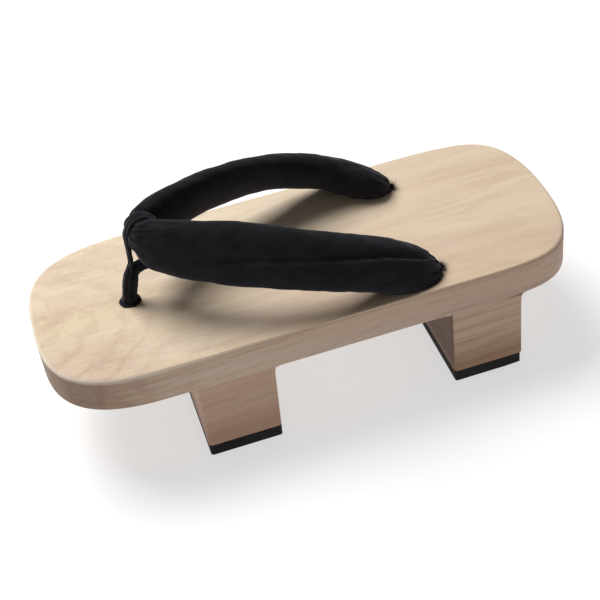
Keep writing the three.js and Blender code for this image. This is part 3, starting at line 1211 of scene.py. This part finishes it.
@dataclass(frozen=True)
class Crease:
    """A soft trough on a strap, along a straight line in distance along and angle round.

    Angles are in degrees from the strap's upper edge: 90 is the middle of the outer face.
    """

    start: Range
    end: Range
    half_width: float
    depth: float
    fade: float = 0.3

    def height(self, along: Array, angle: Array, girth: float) -> Array:
        """Minus depth times a bell curve in the distance from the line, fading at the line's ends.

        Args:
            along: distance along the strap, in millimetres.
            angle: angle round it, in degrees from 0 to 360.
            girth: millimetres of surface per degree.

        Returns:
            Height over the plain surface, in millimetres.
        """
        start = np.array([self.start[0], self.start[1] * girth])
        line = np.array([self.end[0], self.end[1] * girth]) - start
        length = float(np.hypot(*line))
        ahead = ((along - start[0]) * line[0] + (angle * girth - start[1]) * line[1]) / length
        beside = ((along - start[0]) * -line[1] + (angle * girth - start[1]) * line[0]) / length
        fade = smooth_step(ahead, 0.0, self.fade * length)
        fade = fade * (1 - smooth_step(ahead, (1 - self.fade) * length, length))
        return -self.depth * fade * bell(beside, self.half_width)


# x, out from the centre line, rise over the board, half width, half thickness, lean, depth of the
# fold along the outer face, and its level from the lower edge (-1) to the upper (1); lean turns the
# width from flat (0 degrees) to upright (90 degrees)
STRAP_STATIONS = (
    (73.0, -1.2, 37.4, 4.0, 1.8, 88.0, 0.0, -0.35),
    (71.9, -0.3, 36.2, 7.0, 3.4, 88.0, 0.0, -0.35),
    (70.4, 1.2, 35.0, 9.2, 4.8, 86.0, 0.0, -0.35),
    (66.5, 5.6, 33.8, 12.2, 5.9, 81.0, 0.1, -0.33),
    (55.0, 14.0, 33.0, 13.3, 6.0, 73.0, 0.4, -0.28),
    (30.0, 25.7, 30.1, 14.4, 6.0, 64.0, 0.9, -0.16),
    (0.0, 35.4, 23.3, 13.2, 6.2, 60.0, 1.3, 0.03),
    (-25.0, 37.5, 14.1, 12.6, 7.2, 55.0, 1.6, 0.2),
    (-43.0, 36.8, 5.6, 11.6, 7.4, 48.0, 1.5, 0.34),
    (-51.8, 35.9, 2.2, 9.0, 6.0, 42.0, 0.8, 0.44),
    (-55.9, 35.1, 1.3, 5.4, 4.0, 38.0, 0.2, 0.5),
    (-57.6, 34.6, 0.9, 2.4, 1.9, 36.0, 0.0, 0.5),
    (-58.3, 34.5, 0.8, 1.0, 0.8, 36.0, 0.0, 0.5),
)

# Creases that the photograph shows: distance and angle of both ends, half width and depth. The first
# eight fan out at the nose, and the rest are dimples on top and along the outer face
STRAP_CREASES = (
    Crease((2.0, 26.0), (15.0, 36.0), 0.9, 0.6),
    Crease((3.0, 44.0), (19.0, 50.0), 0.9, 0.6),
    Crease((2.5, 62.0), (14.0, 74.0), 1.0, 0.55),
    Crease((9.0, 58.0), (22.0, 66.0), 1.0, 0.5),
    Crease((4.0, 84.0), (15.0, 104.0), 1.2, 0.4),
    Crease((11.0, 16.0), (27.0, 24.0), 1.2, 0.45),
    Crease((5.0, 300.0), (18.0, 326.0), 1.2, 0.5),
    Crease((5.0, 262.0), (17.0, 280.0), 1.2, 0.4),
    Crease((34.0, 12.0), (44.0, 40.0), 1.8, 0.35),
    Crease((58.0, 350.0), (66.0, 318.0), 1.8, 0.4),
    Crease((77.0, 8.0), (92.0, 34.0), 2.2, 0.35),
    Crease((104.0, 20.0), (120.0, 48.0), 2.2, 0.4),
    Crease((119.0, 4.0), (133.0, 40.0), 1.6, 0.4),
    Crease((62.0, 132.0), (80.0, 150.0), 2.2, 0.4),
    Crease((96.0, 140.0), (122.0, 126.0), 2.4, 0.45),
)


@dataclass
class Spine:
    """A strap's middle line and what is read from the stations there, one row to a step."""

    at: Array
    length: float
    centre: Array
    up: Array
    outward: Array
    half_width: Array
    half_thick: Array
    fold_depth: Array
    fold_level: Array


@dataclass
class Strap:
    """One padded velvet strap, from the nose over the toe hole to its side hole.

    Ranges along the strap are distances from the nose, or from the tip where the name says so. The
    nose is set back by nose_back and leans forward by nose_rake over the heights of rake_rise.
    """

    side: Side
    seed: int
    stations: Sequence[tuple[float, ...]] = STRAP_STATIONS
    creases: Sequence[Crease] = STRAP_CREASES
    tip_swell: float = 1.0
    nose_back: float = 3.1
    nose_rake: float = 3.9
    nose_reach: float = 15.0
    rake_rise: Range = (27.0, 38.0)
    steps: int = 300
    bunching: float = 0.35
    round_steps: int = 120
    fullness: float = 2.25
    shift_from_tip: Range = (34.0, 4.0)
    outer_face: Range = (0.1, 0.7)
    groove_half_width: float = 0.3
    ridge_half_width: float = 0.34
    ridge_height: float = 0.3
    lip: float = 0.08
    stuffing: Unevenness = Unevenness(0.2, 9, (16.0, 46.0))
    stuffing_starts: Range = (3.0, 22.0)
    stuffing_ends_from_tip: Range = (16.0, 2.0)
    cloth: Unevenness = Unevenness(0.06, 12, (5.0, 14.0), closer=3)
    cloth_least: float = 0.4
    gather_depth: float = 0.34
    gather_from_tip: Range = (15.0, 3.0)
    gather_full: float = 2.2
    nose_pleats: Wave = (0.3, 11.0, 0.6)
    nose_pleats_end: Range = (2.0, 12.0)
    nose_full: float = 3.0
    rest_gap: float = 0.15
    sunk_height: float = 0.02
    sunk_waves: float = 3.0
    fibres_back: float = 0.2
    fibres_rise: float = 1.3

    def spine(self) -> Spine:
        """Reads the stations along the strap, with its steps drawn a little towards both ends.

        Towards the tip the middle line moves by the side's end shift and the section swells.

        Returns:
            The middle line with its directions, widths and fold.
        """
        sign = self.side.value
        stations = np.array(self.stations)
        where = lengths_along(stations[:, :3])
        length = where[-1]
        bunched = length * (1 - np.cos(np.linspace(0, np.pi, self.steps))) / 2
        at = (1 - self.bunching) * np.linspace(0, length, self.steps) + self.bunching * bunched
        read = cubic(stations, where, at)
        x, out, rise, half_width, half_thick, lean, fold_depth, fold_level = read.T
        start, full = self.shift_from_tip
        toward_tip = smooth_step(at, length - start, length - full)
        shift_x, shift_y = END_SHIFT[self.side]
        centre = [x + shift_x * toward_tip, sign * out + shift_y * toward_tip, BOARD_TOP + rise]
        centre = np.stack(centre, axis=-1)
        swell = 1 + (self.tip_swell - 1) * toward_tip
        way = unit(np.gradient(centre, at, axis=0))
        tilt = np.radians(lean)
        up = np.stack([np.zeros_like(tilt), -sign * np.cos(tilt), np.sin(tilt)], axis=-1)
        up = unit(up - way * np.sum(up * way, axis=1, keepdims=True))
        outward = np.cross(up, way) * -sign
        widths = (half_width * swell, half_thick * swell)
        return Spine(at, length, centre, up, outward, *widths, fold_depth, fold_level)

    def fold(self, spine: Spine, level: Array, depth_share: Array) -> Array:
        """The fold along the middle of the outer face: a groove above its line and a ridge below it.

        Args:
            spine: the strap's middle line.
            level: from the lower edge (-1) to the upper (1).
            depth_share: from the inner face (-1) to the outer (1).

        Returns:
            Height over the plain section, in millimetres.
        """
        off_fold = level - spine.fold_level[:, None]
        lip = smooth_step(off_fold, -self.lip, 0.0)
        ridge = self.ridge_height * bell(off_fold, self.ridge_half_width) * (1 - lip)
        groove = bell(off_fold, self.groove_half_width) * lip
        return spine.fold_depth[:, None] * smooth_step(depth_share, *self.outer_face) * (ridge - groove)

    def softness(self, spine: Spine, angle: Array) -> Array:
        """The soft part of the surface: a sum of creases, bumps of stuffing and cloth, gathers and pleats.

        The gathers at the tip and the pleats at the nose are sines of the angle round, and die away
        along the strap. Random numbers are drawn for the stuffing first and then for the cloth.

        Args:
            spine: the strap's middle line.
            angle: angle round, in radians.

        Returns:
            Height over the folded section, in millimetres.
        """
        at, length = spine.at, spine.length
        shape = (self.steps, self.round_steps)
        along = np.broadcast_to(at[:, None], shape)
        degrees = np.broadcast_to(np.degrees(angle), shape)
        girth = np.pi * float(spine.half_width.mean() + spine.half_thick.mean()) / 360
        height = sum(crease.height(along, degrees, girth) for crease in self.creases)

        rng = np.random.default_rng(self.seed)
        start, end = self.stuffing_ends_from_tip
        body = smooth_step(at, *self.stuffing_starts) * (1 - smooth_step(at, length - start, length - end))
        height = height + body[:, None] * self.stuffing.heights(rng, along, angle)
        height = height + self.cloth.heights(rng, along, angle) * (self.cloth_least + body[:, None])

        start, end = self.gather_from_tip
        gather = smooth_step(at, length - start, length - end)
        gather = gather * np.minimum(spine.half_thick, self.gather_full) / self.gather_full
        gathers = np.sin(angle * 13 + 0.8 * np.sin(angle * 3)) + 0.5 * np.sin(angle * 22 + 1.3)
        nose = 1 - smooth_step(at, *self.nose_pleats_end)
        nose = nose * np.minimum(spine.half_thick, self.nose_full) / self.nose_full
        height = height + self.gather_depth * gather[:, None] * gathers
        return height + nose[:, None] * sines(angle, [self.nose_pleats])

    def surface(self) -> Array:
        """Sections carried along the strap.

        Each is a superellipse of the stations' widths, raised along its own normal by the fold and the
        softness. The nose leans forward, and the strap is pressed flat where it rests on the board.

        Returns:
            A closed grid.
        """
        spine = self.spine()
        half_width, half_thick = spine.half_width[:, None], spine.half_thick[:, None]
        angle = np.linspace(0, TAU, self.round_steps, endpoint=False)[None]
        cosine, sine = np.cos(angle), np.sin(angle)
        power = 2 / self.fullness
        wide = np.sign(cosine) * np.abs(cosine) ** power * half_width
        thick = np.sign(sine) * np.abs(sine) ** power * half_thick
        facing = unit(np.stack([wide / half_width**2, thick / half_thick**2], axis=-1))
        height = self.fold(spine, wide / half_width, thick / half_thick) + self.softness(spine, angle)
        points = (
            spine.centre[:, None]
            + spine.up[:, None] * (wide + facing[..., 0] * height)[..., None]
            + spine.outward[:, None] * (thick + facing[..., 1] * height)[..., None]
        )
        at_nose = (1 - smooth_step(spine.at, 0, self.nose_reach))[:, None]
        lifted = smooth_step(points[..., 2] - BOARD_TOP, *self.rake_rise)
        points[..., 0] += at_nose * (self.nose_rake * lifted - self.nose_back)
        low = BOARD_TOP + self.rest_gap
        sunk = np.maximum(low - points[..., 2], 0)
        points[..., 2] = np.maximum(points[..., 2], low) + self.sunk_height * np.sin(sunk * self.sunk_waves)
        return points

    def tip(self) -> Point:
        """The spot where the fibres of the cut end stand.

        Returns:
            Its coordinates in millimetres.
        """
        x, out = self.stations[-1][:2]
        shift_x, shift_y = END_SHIFT[self.side]
        return x + shift_x - self.fibres_back, self.side.value * out + shift_y, BOARD_TOP + self.fibres_rise

    def build(self) -> None:
        """Makes the strap as a stuffed piece that stands for its half of the CAD strap."""
        name = f"{self.side.name.lower()}_strap"
        piece = add_surface(name, [self.surface()])
        dress(piece, VELVET.material(), "velvet", "strap")
        LOG.info("%s: %d faces", name, len(piece.data.polygons))


@dataclass
class Fray:
    """Loose fibres of cut velvet, standing out round a spot.

    way is where they point and root how far their roots scatter round the spot. off_way is a
    direction that no fibre runs along, and turns their sides.
    """

    name: str
    spot: Point
    seed: int
    way: Point = (-0.9, 0.25, 0.45)
    count: int = 150
    length: Range = (1.2, 3.6)
    spread: float = 0.8
    curl: float = 0.35
    root: Point = (0.6, 0.8, 0.4)
    off_way: Point = (0.3, 0.2, 1.0)
    thickness: float = 0.085
    taper: float = 0.75
    lift: float = 0.12
    points: int = 6
    sides: int = 3
    sheen: float = 0.1

    def build(self) -> None:
        """Makes the fibres: thin tapering three-sided tubes along arcs that droop and curl."""
        rng = np.random.default_rng(self.seed)
        start = np.array(self.spot) + rng.normal(0, 1, (self.count, 3)) * np.array(self.root)
        way = unit(np.array(self.way) + rng.normal(0, self.spread, (self.count, 3)))
        length = rng.uniform(*self.length, self.count)
        curl = rng.normal(0, self.curl, (self.count, 3))
        share = np.linspace(0, 1, self.points)
        reach = length[:, None, None] * share[None, :, None]
        path = start[:, None] + way[:, None] * reach + curl[:, None] * reach * share[None, :, None]
        path[..., 2] = np.maximum(path[..., 2], BOARD_TOP + self.lift)
        aside = unit(np.cross(way, self.off_way))
        over = np.cross(way, aside)
        radius = self.thickness * (1 - self.taper * share)
        turn = np.arange(self.sides) * TAU / self.sides
        ring = aside[:, None, None] * np.cos(turn)[:, None] + over[:, None, None] * np.sin(turn)[:, None]
        piece = add_surface(self.name, list(path[:, :, None] + ring * radius[None, :, None, None]))
        dress(piece, Velvet(self.name + "_pile", sheen=self.sheen).material(), "velvet")
        LOG.info("%s: %d fibres", self.name, self.count)


# Front loop


def route_of(points: Sequence[Range], count: int) -> Array:
    """A smooth route in the centre plane.

    Args:
        points: x and rise over the board.
        count: how many steps.

    Returns:
        The route's points, evenly spaced.
    """
    knots = np.array([(x, 0.0, BOARD_TOP + rise) for x, rise in points])
    where = lengths_along(knots)
    return cubic(knots, where, np.linspace(0, where[-1], count))


def sweep(
    path: Array, thick: Array, wide: Array, folds: Callable[[Array, Array], Array], sides: int
) -> Array:
    """An oval carried along a path in the centre plane.

    Args:
        path: the middle of the oval at each step.
        thick: half thickness in the plane at each step.
        wide: half width across the plane at each step.
        folds: gives the height over the oval from the share along (0 to 1) and the angle round.
        sides: points round the oval.

    Returns:
        A closed grid.
    """
    aside = np.array([0.0, 1.0, 0.0])
    out = np.cross(aside, unit(np.gradient(path, axis=0)))
    angle = np.linspace(0, TAU, sides, endpoint=False)[None]
    height = folds(np.linspace(0, 1, len(path))[:, None], angle)
    depth = (thick[:, None] + height) * np.cos(angle)
    width = (wide[:, None] + height) * np.sin(angle)
    return path[:, None] + out[:, None] * depth[..., None] + aside * width[..., None]


@dataclass(frozen=True)
class Knot:
    """An overhand knot pulled into itself: a round strand along a trefoil curve.

    The curve is x = sin t + 2 sin 2t, y = cos t - 2 cos 2t, z = -sin 3t, and is open by a hair where
    the strand would meet itself, so that its two ends are closed. radius and rise say how far the
    strand's middle reaches to the side and up, and flatten how much wider the strand is than tall.
    """

    radius: float
    rise: float
    strand: float
    flatten: float
    steps: int = 220
    sides: int = 28
    drawn: float = 0.999
    wobble: float = 0.05

    def surface(self, middle: Point) -> Array:
        """Circles carried along the curve.

        Args:
            middle: the knot's middle.

        Returns:
            A closed grid.
        """
        turn = np.linspace(0.0, TAU * self.drawn, self.steps)
        x = (np.sin(turn) + 2 * np.sin(2 * turn)) / 3 * self.radius
        y = (np.cos(turn) - 2 * np.cos(2 * turn)) / 3 * self.radius
        path = np.stack([x, y, -np.sin(3 * turn) * self.rise], axis=-1)
        way = unit(np.gradient(path, axis=0))
        aside = unit(np.cross(way, [0.0, 0.0, 1.0]))
        over = np.cross(aside, way)
        angle = np.linspace(0, TAU, self.sides, endpoint=False)
        strand = self.strand * (1 + self.wobble * np.sin(angle * 5 + turn[:, None] * 4))
        around = aside[:, None] * (np.cos(angle) * strand * self.flatten)[..., None]
        around = around + over[:, None] * (np.sin(angle) * strand)[..., None]
        return np.array(middle) + path[:, None] + around


# x and rise over the board of the post's middle and of the band's
POST_ROUTE = ((79.4, -14.0), (79.4, -4.0), (79.2, 2.0), (78.0, 8.0), (76.6, 13.5), (75.2, 19.5))
BAND_ROUTE = (
    (77.4, 9.0),
    (76.5, 14.0),
    (75.6, 18.6),
    (75.0, 23.0),
    (74.7, 28.0),
    (74.5, 33.0),
    (73.9, 37.6),
    (71.2, 42.2),
    (67.4, 44.6),
    (63.4, 43.4),
    (60.2, 39.2),
    (59.2, 33.5),
    (59.8, 27.4),
    (62.4, 22.0),
    (66.2, 19.2),
    (70.2, 18.8),
    (73.4, 17.6),
    (75.6, 14.4),
    (76.6, 10.5),
)


@dataclass
class FrontLoop:
    """The folded velvet strip that comes up through the toe hole, and closes round the strap's nose.

    Shares run along the band from its root at the post (0), over the crown, to the rear strand (1).
    Rises are over the board.
    """

    post_route: Sequence[Range] = POST_ROUTE
    band_route: Sequence[Range] = BAND_ROUTE
    post_steps: int = 90
    post_sides: int = 72
    post_radius: float = 3.65
    post_wider: float = 0.15
    post_waist: float = 0.2
    waist_rise: float = 16.0
    top_narrows: float = 1.7
    top_rise: Range = (11.0, 19.5)
    foot_narrows: float = 0.25
    foot_rise: Range = (-3.0, 1.0)
    # Depth, angle and half width of the folds down the post
    post_folds: Sequence[tuple[float, float, float]] = (
        (0.34, 0.95, 0.24),
        (0.26, 2.35, 0.28),
        (0.3, -1.1, 0.3),
    )
    band_steps: int = 260
    band_sides: int = 84
    band_half_width: float = 2.8
    band_half_thick: float = 1.1
    crown_half_width: float = 3.9
    crown_thickens: float = 0.5
    crown_share: float = 0.4
    crown_reach: float = 0.1
    tuck_share: float = 0.35
    root_narrows: float = 1.5
    root_thins: float = 0.4
    root_reach: Range = (0.02, 0.1)
    rear_thickens: float = 1.6
    rear_reach: Range = (0.7, 0.82)
    collar_rings: int = 12
    collar_sides: int = 72
    collar_gap: float = 0.12
    collar_power: float = 1.3
    collar_inner: float = 2.6
    collar_spread: float = 5.05
    collar_height: float = 1.1
    # Height, turns and phase of the waves in the collar's outline and height
    collar_outline: Sequence[Wave] = ((0.3, 3, 0.7), (0.13, 7, 2.0), (0.07, 12, 0.0))
    collar_folds: Sequence[Wave] = ((0.3, 2, 2.2), (0.2, 5, 0.0))
    collar_x: float = 79.3
    knot: Knot = Knot(radius=6.2, rise=1.428, strand=2.5, flatten=1.25)
    knot_below: float = 0.6

    def down_post(self, share: Array, angle: Array) -> Array:
        """The post's folds: bell-shaped troughs at fixed angles, and faint waves.

        Args:
            share: from the post's foot (0) to its top (1).
            angle: angle round, in radians.

        Returns:
            Height over the plain post, in millimetres.
        """
        troughs = 0.0
        for depth, place, half_width in self.post_folds:
            troughs = troughs + depth * bell(np.angle(np.exp(1j * (angle - place))), half_width)
        return 0.1 * np.sin(share * 21 + angle * 2) + 0.05 * np.sin(share * 60 - angle * 3) - troughs

    def post_grid(self) -> Array:
        """The post: two strands pressed together, seen as folds down its front and side.

        Returns:
            A closed grid.
        """
        path = route_of(self.post_route, self.post_steps)
        rise = path[:, 2] - BOARD_TOP
        waist = self.post_waist * np.sin(np.clip(rise / self.waist_rise, 0, 1) * np.pi)
        radius = self.post_radius - waist - self.top_narrows * smooth_step(rise, *self.top_rise) ** 2
        radius = radius - self.foot_narrows * (1 - smooth_step(rise, *self.foot_rise))
        return sweep(path, radius, radius + self.post_wider, self.down_post, self.post_sides)

    def along_band(self, share: Array, angle: Array) -> Array:
        """The band's folds: lengthwise wrinkles, strongest over the crown, with one tuck across it.

        Args:
            share: from the root (0) to the rear strand's end (1).
            angle: angle round, in radians.

        Returns:
            Height over the plain band, in millimetres.
        """
        strength = 0.08 + 0.1 * bell(share - self.crown_share, 0.14)
        lengthwise = np.sin(angle * 9 + 1.4 * np.sin(share * 16)) + 0.6 * np.sin(angle * 14 - 1.1 * share * 9)
        tuck = 0.35 * bell(share - self.crown_share, 0.03) - 0.45 * bell(share - self.tuck_share, 0.014)
        return strength * lengthwise + tuck + 0.08 * np.sin(share * 90 + angle * 4)

    def band_grid(self) -> Array:
        """The band round the nose: widest and most wrinkled over the top.

        Returns:
            A closed grid.
        """
        path = route_of(self.band_route, self.band_steps)
        share = np.linspace(0, 1, len(path))
        crown = bell(share - self.crown_share, self.crown_reach)
        root = 1 - smooth_step(share, *self.root_reach)
        rear = smooth_step(share, *self.rear_reach)
        widening = self.crown_half_width - self.band_half_width
        wide = self.band_half_width + widening * crown - self.root_narrows * root
        thick = self.band_half_thick + self.crown_thickens * crown + self.rear_thickens * rear
        return sweep(path, thick - self.root_thins * root, wide, self.along_band, self.band_sides)

    def collar_grid(self) -> Array:
        """The cloth bunched round the post at the hole: an uneven ring that spreads on the board.

        Returns:
            A closed grid.
        """
        turn = np.linspace(0, TAU, self.collar_sides, endpoint=False)[None]
        rim = np.linspace(0, np.pi, self.collar_rings)[:, None]
        spread = self.collar_spread + sines(turn, self.collar_outline)
        height = self.collar_height + sines(turn, self.collar_folds)
        radius = self.collar_inner + (spread - self.collar_inner) * np.sin(rim) ** self.collar_power
        z = BOARD_TOP + self.collar_gap + height * (1 - np.cos(rim)) / 2
        return np.stack([self.collar_x + radius * np.cos(turn), radius * np.sin(turn), z], axis=-1)

    def build(self) -> None:
        """Makes the post with its collar, the band and the knot below."""
        velvet = LOOP_VELVET.material()
        middle = (self.collar_x, 0.0, UNDERSIDE - self.knot_below)
        pieces = {
            "loop_post": [self.post_grid(), self.collar_grid()],
            "loop_band": [self.band_grid()],
            "toe_knot": [self.knot.surface(middle)],
        }
        for name, grids in pieces.items():
            dress(add_surface(name, grids), velvet, "velvet", "front_loop")
        LOG.info("front loop: post, band and knot")


@dataclass
class EndCord:
    """The cord at one strap's end: twisted, through the slanted side hole, knotted under the board."""

    side: Side
    sole: Sole
    ply_count: int = 3
    ply_radius: float = 1.25
    ply_offset: float = 1.2
    lay: float = 9.0
    steps: int = 70
    ply_sides: int = 18
    clear: float = 0.3
    knot_half: float = 4.6
    knot: Knot = Knot(radius=4.4, rise=2.184, strand=1.9, flatten=1.1)

    def plies(self, low: float, high: float) -> list[Array]:
        """The plies, each a circle carried along a helix round the hole's slanted middle.

        Args:
            low: the cord's lower end over the floor.
            high: its upper end.

        Returns:
            A closed grid for each ply.
        """
        height = np.linspace(low, high, self.steps)
        x, y = self.sole.side_way(self.side, height)
        angle = np.linspace(0, TAU, self.ply_sides, endpoint=False)
        grids = []
        for start in np.arange(self.ply_count) * TAU / self.ply_count:
            turn = height * TAU / self.lay + start
            ring_x = x[:, None] + (self.ply_offset * np.cos(turn))[:, None] + self.ply_radius * np.cos(angle)
            ring_y = y[:, None] + (self.ply_offset * np.sin(turn))[:, None] + self.ply_radius * np.sin(angle)
            grids.append(np.stack([ring_x, ring_y, np.broadcast_to(height[:, None], ring_x.shape)], axis=-1))
        return grids

    def build(self) -> None:
        """Makes the cord and its knot as one piece."""
        side = self.side.name.lower()
        name = f"{side}_end_cord"
        knot_height = UNDERSIDE - self.knot_half - self.clear
        knot = self.knot.surface((*self.sole.side_way(self.side, knot_height), knot_height))
        piece = add_surface(name, [*self.plies(knot_height, BOARD_TOP - self.clear), knot])
        dress(piece, TwistedCord().material(), "cord", f"{side}_cord")
        LOG.info("%s: twisted, with a knot", name)


# Studio


@dataclass(frozen=True)
class SoftLight:
    """A square area light that looks at the middle of the sandal."""

    name: str
    place: Point
    size: float
    watts: float
    colour: Colour

    def build(self) -> None:
        """Adds the light at its place in metres."""
        data = bpy.data.lights.new(self.name, "AREA")
        data.shape = "SQUARE"
        data.size = self.size
        data.energy = self.watts
        data.color = self.colour
        lamp = bpy.data.objects.new(self.name, data)
        place = Vector(self.place)
        lamp.matrix_world = Matrix.Translation(place) @ place.to_track_quat("Z", "Y").to_matrix().to_4x4()
        bpy.context.scene.collection.objects.link(lamp)


@dataclass
class Studio:
    """Camera, floor and light. The camera's angles are in degrees, as fitted to the photograph."""

    azimuth: float = 77.861
    elevation: float = 41.419
    roll: float = -8.002
    distance: float = 652.476
    target: Point = (-1.828, -13.741, 19.882)
    focal_px: float = 1323.83
    picture_px: float = 600.0
    sensor: float = 36.0
    clip: Range = (0.01, 60.0)
    floor_half: float = 30.0
    floor_drop: float = 0.05
    ambient: float = 0.17
    key: SoftLight = SoftLight("key", (0.42, -0.7, 1.4), 0.95, 32.0, (1.0, 0.99, 0.975))

    def camera(self) -> None:
        """Adds the camera: on a sphere round the target, turned by its roll about the line of sight."""
        azimuth, elevation, roll = np.radians([self.azimuth, self.elevation, self.roll])
        level = np.cos(elevation)
        back = np.array([level * np.cos(azimuth), level * np.sin(azimuth), np.sin(elevation)])
        aside = unit(np.cross([0, 0, 1], back))
        upright = np.cross(back, aside)
        matrix = np.eye(4)
        matrix[:3, 0] = aside * np.cos(roll) + upright * np.sin(roll)
        matrix[:3, 1] = upright * np.cos(roll) - aside * np.sin(roll)
        matrix[:3, 2] = back
        matrix[:3, 3] = (np.array(self.target) + self.distance * back) * MM
        data = bpy.data.cameras.new("camera")
        data.sensor_width = self.sensor
        data.lens = self.focal_px / self.picture_px * self.sensor
        data.clip_start, data.clip_end = self.clip
        camera = bpy.data.objects.new("camera", data)
        camera.matrix_world = Matrix(matrix.tolist())
        bpy.context.scene.collection.objects.link(camera)
        bpy.context.scene.camera = camera

    def floor(self) -> None:
        """Adds the floor, a hair under the treads."""
        half, low = self.floor_half, -self.floor_drop * MM
        corners = [(x * half, y * half, low) for x, y in ((-1, -1), (1, -1), (1, 1), (-1, 1))]
        mesh = bpy.data.meshes.new("floor")
        mesh.from_pydata(corners, [], [(0, 1, 2, 3)])
        mesh.materials.append(StudioFloor().material())
        floor = bpy.data.objects.new("floor", mesh)
        bpy.context.scene.collection.objects.link(floor)

    def build(self) -> None:
        """Adds everything, with an even white surround."""
        self.camera()
        self.floor()
        self.key.build()
        world = bpy.data.worlds.new("surround")
        world.use_nodes = True
        background = world.node_tree.nodes["Background"]
        background.inputs["Color"].default_value = (1.0, 1.0, 1.0, 1.0)
        background.inputs["Strength"].default_value = self.ambient
        bpy.context.scene.world = world
        bpy.context.scene.view_settings.view_transform = "Standard"
        LOG.info("studio: camera, floor and light")


def main() -> None:
    """Builds the studio and the sandal in order."""
    logging.basicConfig(level=logging.INFO, format="%(name)s: %(message)s")
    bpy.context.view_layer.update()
    Studio().build()
    sole = Sole()
    sole.build()
    straps = (Strap(Side.LEFT, seed=12), Strap(Side.RIGHT, seed=10, tip_swell=1.1, nose_back=4.0))
    for strap in straps:
        strap.build()
        EndCord(strap.side, sole).build()
        name = f"{strap.side.name.lower()}_fray"
        Fray(name, strap.tip(), seed=5 + strap.side.value).build()
    FrontLoop().build()


if __name__ == "__main__":
    main()
